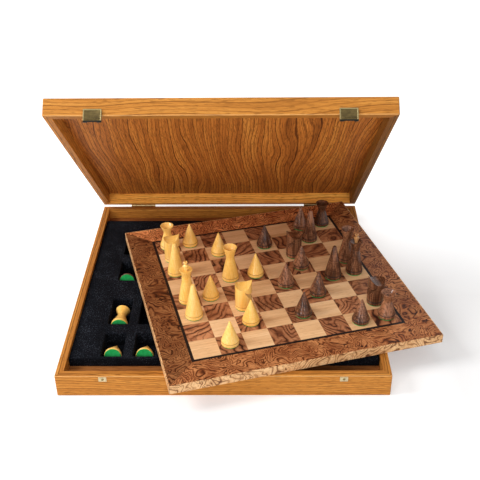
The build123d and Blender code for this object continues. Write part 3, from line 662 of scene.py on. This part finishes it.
# Four men lie in pockets, on the edges of their feet and heads. This is how far each one's axis slopes
PAWN_TILT = math.atan((FEET["pawn"] - PAWN_TIP) / PAWN_TOP)
LYING_TILT = {
    "light_rook_2": math.atan((FEET["rook"] - CUP_RIM) / ROOK_TOP),
    "light_pawn_7": PAWN_TILT,
    "light_pawn_8": PAWN_TILT,
    "dark_pawn_8": PAWN_TILT,
}

# Colours for ink, dark, middle and light
BOXWOOD = ((0.46, 0.19, 0.030), (0.88, 0.46, 0.085), (0.98, 0.57, 0.130), (0.99, 0.66, 0.230))
WALNUT = ((0.006, 0.002, 0.001), (0.030, 0.011, 0.006), (0.110, 0.040, 0.018), (0.400, 0.165, 0.078))
TAN_WOOD = ((0.20, 0.08, 0.03), (0.36, 0.16, 0.06), (0.54, 0.27, 0.10), (0.68, 0.39, 0.17))


def turned_wood(name, colours, rough, coat, streak):
    """Lacquered turned wood: grain up the man, lathe rings across it, and painted shade in the groove."""
    sh = Shader(name)
    spot = sh.place()
    info = sh.node("ShaderNodeObjectInfo")
    shift = sh.math("MULTIPLY", info.outputs["Random"], 7.0)
    p = sh.vector_math("ADD", spot, sh.join(shift, sh.math("MULTIPLY", shift, 0.37), 0.0))
    p = along_z(sh, p)
    ink, dark, middle, light = colours
    level = growth(sh, p, gap=3.0 * MM, sway=0.9, reach=60.0, ripple=0.2)
    late = level_line(sh, level, 0.05, 0.20)
    fibre = sh.noise(p, (30, 700, 700), detail=3.0, rough=0.6)
    cloud = sh.noise(p, (20, 130, 130), detail=2.0)
    parts = sh.apart(spot)
    height = sh.join(0.0, 0.0, parts[2])
    ring = sh.noise(height, (1, 1, 1), 900.0, detail=2.0, rough=0.7)
    blend = sh.weigh((ring, 0.34), (fibre, 0.30), (cloud, 0.30), (info.outputs["Random"], 0.08))
    colour = sh.ramp(blend, [(0.38, dark), (0.49, middle), (0.60, light)])
    colour = sh.mix(sh.math("MULTIPLY", late, streak), colour, ink)
    # Painted shade: the colour is darkened in the groove above the foot.
    off_groove = sh.off(parts[2], GROOVE_HEIGHT * MM)
    groove = sh.ramp(sh.math("DIVIDE", off_groove, 1.0 * MM), [(0.30, 1.0), (0.75, 0.0)])
    colour = sh.mix(sh.math("MULTIPLY", groove, 0.8), colour, ink)
    bumps = sh.math("ADD", ring, sh.math("MULTIPLY", fibre, 0.4))
    normal = sh.bump(bumps, 0.08, 0.0003)
    gloss = sh.bump(ring, 0.12, 0.0003)
    more = {"Coat_Weight": coat, "Coat_Roughness": 0.09, "Coat_Normal": gloss, "Specular_IOR_Level": 0.08}
    return sh.finish(colour, rough, normal, **more)


def arc(start, bend, end, steps=10):
    """Points on the quadratic curve from start to end that bends towards a point, after the first."""
    points = []
    for step in range(1, steps + 1):
        t = step / steps
        s = 1 - t
        x = s * s * start[0] + 2 * s * t * bend[0] + t * t * end[0]
        z = s * s * start[1] + 2 * s * t * bend[1] + t * t * end[1]
        points.append((x, z))
    return points


def foot(radius):
    """A man's foot: rounded edge, straight side and groove."""
    return [
        (0.0, FELT),
        (radius - 0.6, FELT),
        (radius - 0.15, FELT + 0.2),
        (radius, FELT + 0.7),
        (radius, FOOT_TOP - 0.25),
        (radius - 0.15, FOOT_TOP),
        (radius - GROOVE, GROOVE_HEIGHT),
        (radius - GROOVE / 2, FOOT_TOP + GROOVE),
    ]


def foot_and_side(kind, bend, neck):
    """A man's foot, and the curve that draws in from it to the neck."""
    below = foot(FEET[kind])
    return below + arc(below[-1], bend, neck)


def pawn_outline():
    tip = [(0.95, PAWN_TOP - 0.6), (0.75, PAWN_TOP - 0.2), (0.4, PAWN_TOP), (0.0, PAWN_TOP)]
    return foot(FEET["pawn"]) + tip


def bishop_outline():
    tip = [(2.55, BISHOP_TOP - 0.6), (2.4, BISHOP_TOP - 0.2), (2.1, BISHOP_TOP), (0.0, BISHOP_TOP)]
    return foot_and_side("bishop", (10.2, 18.0), (7.1, 32.0)) + tip


def cup_outline(neck, top, depth):
    """A flared head with a hollow top."""
    flare = arc(neck, (neck[0] + 0.2, neck[1] + 5.0), (CUP_RIM - 0.05, top - 0.3))
    lip = [(CUP_RIM, top - 0.1), (CUP_RIM - 0.2, top), (CUP_RIM - 0.9, top)]
    bowl = arc(lip[-1], (4.0, top - depth), (0.0, top - depth))
    return flare + lip + bowl


def rook_outline():
    neck = (5.8, 27.0)
    return foot_and_side("rook", (8.6, 16.0), neck) + cup_outline(neck, ROOK_TOP, 7.0)


def queen_outline():
    neck = (6.0, 37.5)
    return foot_and_side("queen", (9.6, 21.0), neck) + cup_outline(neck, QUEEN_TOP, 9.0)


def king_outline():
    side = foot_and_side("king", (9.8, 21.0), (6.2, 39.7))
    ring = [(6.65, 39.8), (6.8, 40.0), (6.8, 40.9), (6.65, 41.1), (6.2, 41.2)]
    flare = arc(ring[-1], (6.6, 47.5), (9.35, KING_CAP - 0.3))
    cap = [(9.4, KING_CAP - 0.1), (9.2, KING_CAP), (8.4, KING_CAP), (4.3, FINIAL_SEAT), (0.0, FINIAL_SEAT)]
    return side + ring + flare + cap


def finial_outline():
    """The king's finial: a flaring shank, a waist and a small cap."""
    return [
        (0.0, FINIAL_SEAT), (2.2, FINIAL_SEAT), (2.35, 54.6), (4.2, 60.8), (4.3, 61.0), (4.1, 61.2),
        (1.75, 62.8), (1.6, 63.0), (1.75, 63.25), (2.9, 66.3), (3.0, 66.5), (2.9, 66.8),
        (2.35, KING_TOP - 0.1), (2.2, KING_TOP), (0.0, KING_TOP),
    ]


def knight_outline():
    """The cylinder that a knight is cut from."""
    radius = FEET["knight"]
    return foot(radius) + [(radius, FOOT_TOP + 1.2), (radius, KNIGHT_PEAK), (0.0, KNIGHT_PEAK)]


def mesh_object(name, vertices, faces, materials):
    """An object of this mesh, linked to the scene."""
    mesh = bpy.data.meshes.new(name)
    mesh.from_pydata(vertices, [], faces)
    mesh.validate()
    made = bpy.data.objects.new(name, mesh)
    bpy.context.scene.collection.objects.link(made)
    for material in materials:
        mesh.materials.append(material)
    return made


def lathe(name, outline, material, steps=96):
    """A turned solid from an outline of (radius, height) in millimetres."""
    vertices, faces = [], []
    start = []
    for radius, height in outline:
        start.append(len(vertices))
        count = 1 if radius == 0 else steps
        for step in range(count):
            angle = 2 * math.pi * step / steps
            vertices.append((radius * MM * math.cos(angle), radius * MM * math.sin(angle), height * MM))
    for low, high in zip(range(len(outline) - 1), range(1, len(outline))):
        a, b = start[low], start[high]
        for step in range(steps):
            after = (step + 1) % steps
            if outline[low][0] == 0:
                faces.append((a, b + after, b + step))
            elif outline[high][0] == 0:
                faces.append((a + step, a + after, b))
            else:
                faces.append((a + step, a + after, b + after, b + step))
    made = mesh_object(name, vertices, faces, [material])
    smooth(made)
    return made


def smooth(obj, angle=32):
    """Smooth shading, with the edges sharper than the angle kept."""
    obj.data.shade_smooth()
    obj.data.set_sharp_from_angle(angle=math.radians(angle))


def prism_cutter(name, outline, half_depth):
    """A cutter from an outline of (x, z) in millimetres, along Y."""
    pairs = zip(outline, outline[1:] + outline[:1])
    if sum(x0 * z1 - x1 * z0 for (x0, z0), (x1, z1) in pairs) < 0:
        outline = outline[::-1]
    near = [(x * MM, -half_depth, z * MM) for x, z in outline]
    far = [(x * MM, half_depth, z * MM) for x, z in outline]
    count = len(outline)
    faces = [tuple(range(count)), tuple(reversed(range(count, 2 * count)))]
    for index in range(count):
        after = (index + 1) % count
        faces.append((after, index, count + index, count + after))
    return mesh_object(name, near + far, faces, [])


def carve(obj, cutters):
    """Takes the cutters out of the object's mesh and deletes them."""
    for cutter in cutters:
        cut = obj.modifiers.new("cut", "BOOLEAN")
        cut.operation = "DIFFERENCE"
        cut.solver = "EXACT"
        cut.object = cutter
    bpy.context.view_layer.update()
    depsgraph = bpy.context.evaluated_depsgraph_get()
    mesh = bpy.data.meshes.new_from_object(obj.evaluated_get(depsgraph))
    obj.modifiers.clear()
    obj.data = mesh
    for cutter in cutters:
        bpy.data.objects.remove(cutter)


def soften(obj, width, segments=2, angle=30):
    """Small rounded edges."""
    round_over = obj.modifiers.new("edges", "BEVEL")
    round_over.width = width
    round_over.segments = segments
    round_over.limit_method = "ANGLE"
    round_over.angle_limit = math.radians(angle)


def circle_through(start, middle, end, steps=16):
    """Points on the circle's arc through three points, after the first."""
    (ax, az), (bx, bz), (cx, cz) = start, middle, end
    twice = 2 * (ax * (bz - cz) + bx * (cz - az) + cx * (az - bz))
    a, b, c = ax * ax + az * az, bx * bx + bz * bz, cx * cx + cz * cz
    x = (a * (bz - cz) + b * (cz - az) + c * (az - bz)) / twice
    z = (a * (cx - bx) + b * (ax - cx) + c * (bx - ax)) / twice
    radius = math.hypot(ax - x, az - z)
    first = math.atan2(az - z, ax - x) % (2 * math.pi)
    last = math.atan2(cz - z, cx - x) % (2 * math.pi)
    last += 2 * math.pi if last < first else 0.0
    angles = [first + (last - first) * step / steps for step in range(1, steps)]
    return [(x + radius * math.cos(t), z + radius * math.sin(t)) for t in angles] + [end]


def knight_body(name, material):
    """A cylinder that looks towards +X: a deep dish in its top and a wedge for the throat."""
    body = lathe(name, knight_outline(), material, steps=72)
    radius = FEET["knight"]
    dip, chin, chest = 36.05, 27.0, 14.5
    throat_x, throat_low, throat_high = 2.7, 31.3, 32.7
    past, above = 30, 70
    dish = circle_through((-radius, KNIGHT_BACK), (0.0, dip), (radius, KNIGHT_PEAK))
    top = [(-past, above), (-past, KNIGHT_BACK), (-radius, KNIGHT_BACK)] + dish
    top += [(past, KNIGHT_PEAK), (past, above)]
    throat = [
        (throat_x, throat_high), (radius, chin), (past, chin),
        (past, chest), (radius, chest), (throat_x, throat_low),
    ]
    carve(body, [prism_cutter("cutter", outline, 0.03) for outline in (top, throat)])
    smooth(body, 30)
    return body


def cut_notch(finial):
    """Cuts the V in the top of the king's finial."""
    half_width, deep, above = 1.5, 2.0, 0.2
    notch = [(-half_width, KING_TOP + above), (half_width, KING_TOP + above), (0.0, KING_TOP - deep)]
    carve(finial, [prism_cutter("cutter", notch, 0.01)])
    smooth(finial)


OUTLINES = {
    "pawn": pawn_outline,
    "bishop": bishop_outline,
    "rook": rook_outline,
    "queen": queen_outline,
    "king": king_outline,
}


def man_pieces(node, kind, wood, finial_wood, felt):
    """A man's separate pieces, standing at the origin."""
    if kind == "knight":
        body = knight_body(f"{node}_body", wood)
    else:
        body = lathe(f"{node}_body", OUTLINES[kind](), wood)
    radius = FEET[kind] - FELT_INSET
    pad = [(0.0, 0.0), (radius - 0.2, 0.0), (radius, 0.25), (radius, FELT), (0.0, FELT)]
    pieces = [body, lathe(f"{node}_felt", pad, felt)]
    if kind == "king":
        finial = lathe(f"{node}_finial", finial_outline(), finial_wood, steps=64)
        cut_notch(finial)
        pieces.append(finial)
    return pieces


def place_man(node, pieces, turn):
    """Moves a man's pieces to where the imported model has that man."""
    low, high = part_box(node)
    points = [turn @ vertex.co for piece in pieces for vertex in piece.data.vertices]
    own_low = Vector(min(point[axis] for point in points) for axis in range(3))
    x = (low.x + high.x) / 2
    y = low.y - own_low.y if node in LYING_TILT else (low.y + high.y) / 2
    shift = Vector((x, y, low.z - own_low.z))
    for piece in pieces:
        piece.matrix_world = Matrix.Translation(shift) @ turn
        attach(piece, node)
    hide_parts(node)


def men():
    """All 32 men."""
    woods = {
        "light": turned_wood("boxwood", BOXWOOD, rough=0.42, coat=0.5, streak=0.10),
        "dark": turned_wood("walnut_man", WALNUT, rough=0.42, coat=0.5, streak=0.35),
    }
    tan = turned_wood("finial_wood", TAN_WOOD, rough=0.34, coat=0.4, streak=0.3)
    finials = {"light": woods["light"], "dark": tan}
    felt = felt_material()
    for node in sorted(frame["nodes"]):
        colour, _, rest = node.partition("_")
        if colour not in woods:
            continue
        kind = rest.split("_")[0]
        pieces = man_pieces(node, kind, woods[colour], finials[colour], felt)
        turn = Matrix.Rotation(FACING[colour], 4, "Z") if kind == "knight" else Matrix.Identity(4)
        if node in LYING_TILT:
            turn = Matrix.Rotation(-math.pi / 2 - LYING_TILT[node], 4, "X")
        place_man(node, pieces, turn)


# ---------------------------------------------------------------- foam block


def rounded_rectangle(half_x, half_y, radius, steps=6):
    """The outline of a rounded rectangle round the origin."""
    points = []
    for quarter in range(4):
        centre_x = (half_x - radius) * (1 if quarter in (0, 3) else -1)
        centre_y = (half_y - radius) * (1 if quarter in (0, 1) else -1)
        for step in range(steps + 1):
            angle = math.pi / 2 * (quarter + step / steps)
            points.append((centre_x + radius * math.cos(angle), centre_y + radius * math.sin(angle)))
    return points


def pocket_rooms():
    """Each pocket's middle and half sizes."""
    row_a = FOAM_LOW.y + FIRST_ROW_MARGIN
    row_b = row_a + PAWN_POCKET + NEAR_ROW_GAP
    row_c = row_b + OFFICER_POCKET + MIDDLE_ROW_GAP
    row_d = row_c + PAWN_POCKET + FAR_ROW_GAP
    rows = (
        (row_a, PAWN_POCKET, PAWN_POCKET),
        (row_b, OFFICER_POCKET, ROYAL_POCKET),
        (row_c, PAWN_POCKET, PAWN_POCKET),
        (row_d, OFFICER_POCKET, ROYAL_POCKET),
    )
    rooms = []
    for near, length, royal in rows:
        for column in range(8):
            size = royal if column in (3, 4) else length
            rooms.append(((column - 3.5) * POCKET_PITCH, near + size / 2, POCKET_WIDTH / 2, size / 2))
    return rooms


def pocket_cutters():
    """One mesh of all the pockets, a little taller than the foam."""
    vertices, faces = [], []
    for x, y, half_x, half_y in pocket_rooms():
        ring = rounded_rectangle(half_x, half_y, POCKET_ROUND)
        count = len(ring)
        start = len(vertices)
        for z in (FOAM_LOW.z - 2 * MM, FOAM_HIGH.z + 2 * MM):
            vertices += [(x + px, y + py, z) for px, py in ring]
        faces.append(tuple(start + i for i in reversed(range(count))))
        faces.append(tuple(start + count + i for i in range(count)))
        for i in range(count):
            j = (i + 1) % count
            faces.append((start + i, start + j, start + count + j, start + count + i))
    return mesh_object("cutter", vertices, faces, [])


BLOCK_FACES = ((3, 2, 1, 0), (4, 5, 6, 7), (0, 1, 5, 4), (1, 2, 6, 5), (2, 3, 7, 6), (3, 0, 4, 7))


def block_corners(low, high):
    """The eight corners of the block between two of them."""
    (x0, y0, z0), (x1, y1, z1) = low, high
    return [(x, y, z) for z in (z0, z1) for x, y in ((x0, y0), (x1, y0), (x1, y1), (x0, y1))]


def block(name, low, high, material):
    """A closed block between two corners."""
    return mesh_object(name, block_corners(low, high), BLOCK_FACES, [material])


def foam():
    """The cut foam and the thin sheet under it."""
    material = foam_material()
    insert = block("foam_block", FOAM_LOW, FOAM_HIGH, material)
    carve(insert, [pocket_cutters()])
    soften(insert, FOAM_EDGE, segments=3)
    insert.data.shade_smooth()
    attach(insert, "base")
    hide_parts("foam_insert")
    low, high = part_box("foam_base_sheet")
    sheet = block("foam_floor", low, high, material)
    soften(sheet, SHEET_EDGE)
    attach(sheet, "base")
    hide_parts("foam_base_sheet")


# ---------------------------------------------------------------- catches


def catch_plates(material):
    """The two catch plates, each made in the lid's frame swung shut and turned back to where it is."""
    swing = Matrix.Rotation(LID_ANGLE, 4, "X")
    shut = Matrix.Translation(HINGE_POINT) @ swing @ Matrix.Translation(-HINGE_POINT)
    for node in ("catch_left", "catch_right"):
        points = [shut @ vertex.co for vertex in frame["nodes"][node].data.vertices]
        x0, x1 = min(p.x for p in points), max(p.x for p in points)
        z0, z1 = min(p.z for p in points), max(p.z for p in points)
        y_back = max(p.y for p in points)
        y_front = -HALF_CASE - PLATE_PROUD
        plate = plate_mesh(node + "_plate", (x0, x1), (y_front, y_back), (z0, z1), material)
        plate.matrix_world = shut.inverted()
        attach(plate, node)
        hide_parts(node)


def plate_mesh(name, xs, ys, zs, material):
    """A plate with a raised border and a sunk middle, flanges behind it and a bead across it."""
    (left, right), (face, back), (bottom, top) = xs, ys, zs
    inner = face + PLATE_THICK
    plate = block(name, (left, face, bottom), (right, inner, top), material)
    bm = bmesh.new()
    bm.from_mesh(plate.data)
    bm.faces.ensure_lookup_table()
    front = min(bm.faces, key=lambda side: side.calc_center_median().y)
    bmesh.ops.inset_region(bm, faces=[front], thickness=PLATE_BORDER, depth=0.0)
    bmesh.ops.inset_region(bm, faces=[front], thickness=STEP_WIDTH, depth=-STEP_DEPTH)
    middle = (left + right) / 2
    flanges = [
        ((left, inner, bottom), (left + PLATE_THICK, back, top - FLANGE_DROP)),
        ((right - PLATE_THICK, inner, bottom), (right, back, top - FLANGE_DROP)),
        ((left + PLATE_THICK, inner, bottom), (middle - MOUTH_HALF, back, bottom + PLATE_THICK)),
        ((middle + MOUTH_HALF, inner, bottom), (right - PLATE_THICK, back, bottom + PLATE_THICK)),
    ]
    for low, high in flanges:
        add_block(bm, low, high)
    bead = (left + BEAD_INSET, right - BEAD_INSET)
    add_bead(bm, bead, face + BEAD_SUNK, bottom + BEAD_HEIGHT, BEAD_RADIUS)
    bm.to_mesh(plate.data)
    bm.free()
    soften(plate, PLATE_EDGE, angle=25)
    plate.data.shade_smooth()
    return plate


def add_block(bm, low, high):
    """A block added to a mesh."""
    made = [bm.verts.new(corner) for corner in block_corners(low, high)]
    for face in BLOCK_FACES:
        bm.faces.new([made[i] for i in face])


def add_bead(bm, xs, y, z, radius, steps=8):
    """Half a round bar along X, standing out towards the front."""
    rows = []
    for x in xs:
        row = []
        for step in range(steps + 1):
            angle = math.pi * step / steps
            row.append(bm.verts.new((x, y - radius * math.sin(angle), z - radius * math.cos(angle))))
        rows.append(row)
    left, right = rows
    for step in range(steps):
        bm.faces.new((left[step], right[step], right[step + 1], left[step + 1]))
    bm.faces.new((right[0], left[0], left[-1], right[-1]))
    bm.faces.new(list(reversed(right)))
    bm.faces.new(left)


# ---------------------------------------------------------------- scene


def paint():
    """Gives each kept CAD node its material."""
    brass = brass_material("brass", (0.62, 0.47, 0.24), rough=0.34)
    materials = case_materials() | board_materials()
    for node in ("hinge_base_leaves", "hinge_lid_leaves", "hinge_pins", "catch_brackets"):
        materials[node] = brass
    materials["keeper_plates"] = brass_material("keeper_brass", (0.80, 0.68, 0.42), rough=0.50)
    for node in ("base_screws", "lid_screws"):
        materials[node] = brass_material(node + "_brass", (0.30, 0.21, 0.09), rough=0.40)
    for node, material in materials.items():
        for slot in frame["nodes"][node].material_slots:
            slot.material = material


def camera():
    """The photograph's camera."""
    data = bpy.data.cameras.new("camera")
    data.lens = CAMERA_LENS
    data.sensor_width = CAMERA_SENSOR
    data.sensor_fit = "HORIZONTAL"
    data.shift_x, data.shift_y = CAMERA_SHIFT
    made = bpy.data.objects.new("camera", data)
    bpy.context.scene.collection.objects.link(made)
    forward = Vector((
        math.sin(CAMERA_YAW) * math.cos(CAMERA_PITCH),
        math.cos(CAMERA_YAW) * math.cos(CAMERA_PITCH),
        -math.sin(CAMERA_PITCH),
    ))
    level_right = Vector((math.cos(CAMERA_YAW), -math.sin(CAMERA_YAW), 0))
    level_up = level_right.cross(forward)
    right = level_right * math.cos(CAMERA_ROLL) + level_up * math.sin(CAMERA_ROLL)
    up = level_up * math.cos(CAMERA_ROLL) - level_right * math.sin(CAMERA_ROLL)
    turn = Matrix((right, up, -forward)).transposed().to_4x4()
    made.matrix_world = Matrix.Translation(CAMERA_PLACE) @ turn
    bpy.context.scene.camera = made


def area_light(name, place, target, size, power, mirrored=True):
    """A soft box, in metres and watts, that looks at a point; gloss shows it only if it is mirrored."""
    data = bpy.data.lights.new(name, "AREA")
    data.shape = "RECTANGLE"
    data.size, data.size_y = size
    data.energy = power
    made = bpy.data.objects.new(name, data)
    bpy.context.scene.collection.objects.link(made)
    made.visible_glossy = mirrored
    made.location = place
    made.rotation_euler = (Vector(target) - Vector(place)).to_track_quat("-Z", "Y").to_euler()


def floor_material():
    """Matt white. What the camera sees of it is lifted, so that only real shadow stays grey."""
    sh = Shader("floor_white")
    spot = sh.place()
    soft = sh.noise(spot, (1, 1, 1), 3.0, detail=1.0)
    parts = sh.apart(spot)
    wide = sh.math("SUBTRACT", sh.math("ABSOLUTE", parts[0]), HALF_CASE)
    deep = sh.math("SUBTRACT", sh.math("ABSOLUTE", parts[1]), HALF_CASE)
    off = sh.math("DIVIDE", sh.math("MAXIMUM", wide, deep), FLOOR_FADE)
    lift = sh.ramp(off, FLOOR_LIFT)
    behind = sh.ramp(sh.math("DIVIDE", parts[1], BACK_FADE), [(0.0, 0.0), (1.0, 1.0)])
    lift = sh.mix(behind, lift, (BACK_LIFT, BACK_LIFT, BACK_LIFT))
    strip = sh.math("DIVIDE", sh.math("SUBTRACT", STRIP_PAST, wide), STRIP_FADE)
    strip = sh.ramp(strip, [(0.0, 0.0), (1.0, 1.0)])
    reach = sh.ramp(sh.math("DIVIDE", parts[1], STRIP_REACH), STRIP_STOPS)
    dim = sh.math("MULTIPLY", strip, reach)
    lift = sh.math("MULTIPLY", lift, sh.math("SUBTRACT", 1.0, dim))
    surface = sh.node("ShaderNodeBsdfDiffuse")
    sh.put(surface.inputs["Color"], sh.ramp(soft, [(0.0, 0.80), (1.0, 0.82)]))
    glow = sh.node("ShaderNodeEmission")
    glow.inputs["Color"].default_value = (1, 1, 1, 1)
    path = sh.node("ShaderNodeLightPath")
    sh.put(glow.inputs["Strength"], sh.math("MULTIPLY", path.outputs["Is Camera Ray"], lift))
    both = sh.node("ShaderNodeAddShader")
    sh.put(both.inputs[0], surface.outputs[0])
    sh.put(both.inputs[1], glow.outputs[0])
    output = sh.node("ShaderNodeOutputMaterial")
    sh.put(output.inputs[0], both.outputs[0])
    return sh.material


def floor():
    """A white floor that keeps the object's shadow."""
    reach = 4.0
    steps = 8
    size = 2 * reach / steps
    row = steps + 1
    vertices = [(-reach + size * i, -reach + size * j, 0) for j in range(row) for i in range(row)]
    faces = [(j * row + i, j * row + i + 1, (j + 1) * row + i + 1, (j + 1) * row + i)
             for j in range(steps) for i in range(steps)]
    made = mesh_object("floor", vertices, faces, [floor_material()])


WORLD_FILL = 0.55


def world():
    """White where the camera and gloss see it, softer where it lights the object."""
    made = bpy.data.worlds.new("studio")
    bpy.context.scene.world = made
    made.use_nodes = True
    tree = made.node_tree
    tree.nodes.clear()
    path = tree.nodes.new("ShaderNodeLightPath")
    shown = path.outputs["Is Camera Ray"]
    for kind in ("Is Glossy Ray", "Is Transmission Ray"):
        either = tree.nodes.new("ShaderNodeMath")
        either.operation = "MAXIMUM"
        tree.links.new(shown, either.inputs[0])
        tree.links.new(path.outputs[kind], either.inputs[1])
        shown = either.outputs[0]
    mix = tree.nodes.new("ShaderNodeMixShader")
    tree.links.new(shown, mix.inputs[0])
    for strength, socket in ((WORLD_FILL, mix.inputs[1]), (1.0, mix.inputs[2])):
        sky = tree.nodes.new("ShaderNodeBackground")
        sky.inputs["Color"].default_value = (1, 1, 1, 1)
        sky.inputs["Strength"].default_value = strength
        tree.links.new(sky.outputs[0], socket)
    output = tree.nodes.new("ShaderNodeOutputWorld")
    tree.links.new(mix.outputs[0], output.inputs[0])


def lights():
    """A soft key from the left, a wide front fill, one from above, and two tall strips for the gloss."""
    area_light("key", (-1.6, -0.3, 1.45), (0, 0, 0.05), size=(0.8, 0.8), power=25)
    area_light("fill", (-0.2, -2.1, 1.3), (0, 0, 0.1), size=(1.6, 0.7), power=12, mirrored=False)
    area_light("top", (-0.3, 0.1, 2.2), (0, 0, 0.05), size=(1.0, 1.0), power=8, mirrored=False)
    area_light("left_strip", (-0.75, -1.45, 0.50), (0.05, 0, 0.08), size=(0.07, 1.1), power=5.5)
    area_light("right_strip", (0.45, -1.55, 0.50), (0.05, 0, 0.08), size=(0.035, 1.1), power=2.2)


camera()
paint()
catch_plates(catch_material())
foam()
men()
floor()
world()
lights()
bpy.context.scene.view_settings.view_transform = "Standard"
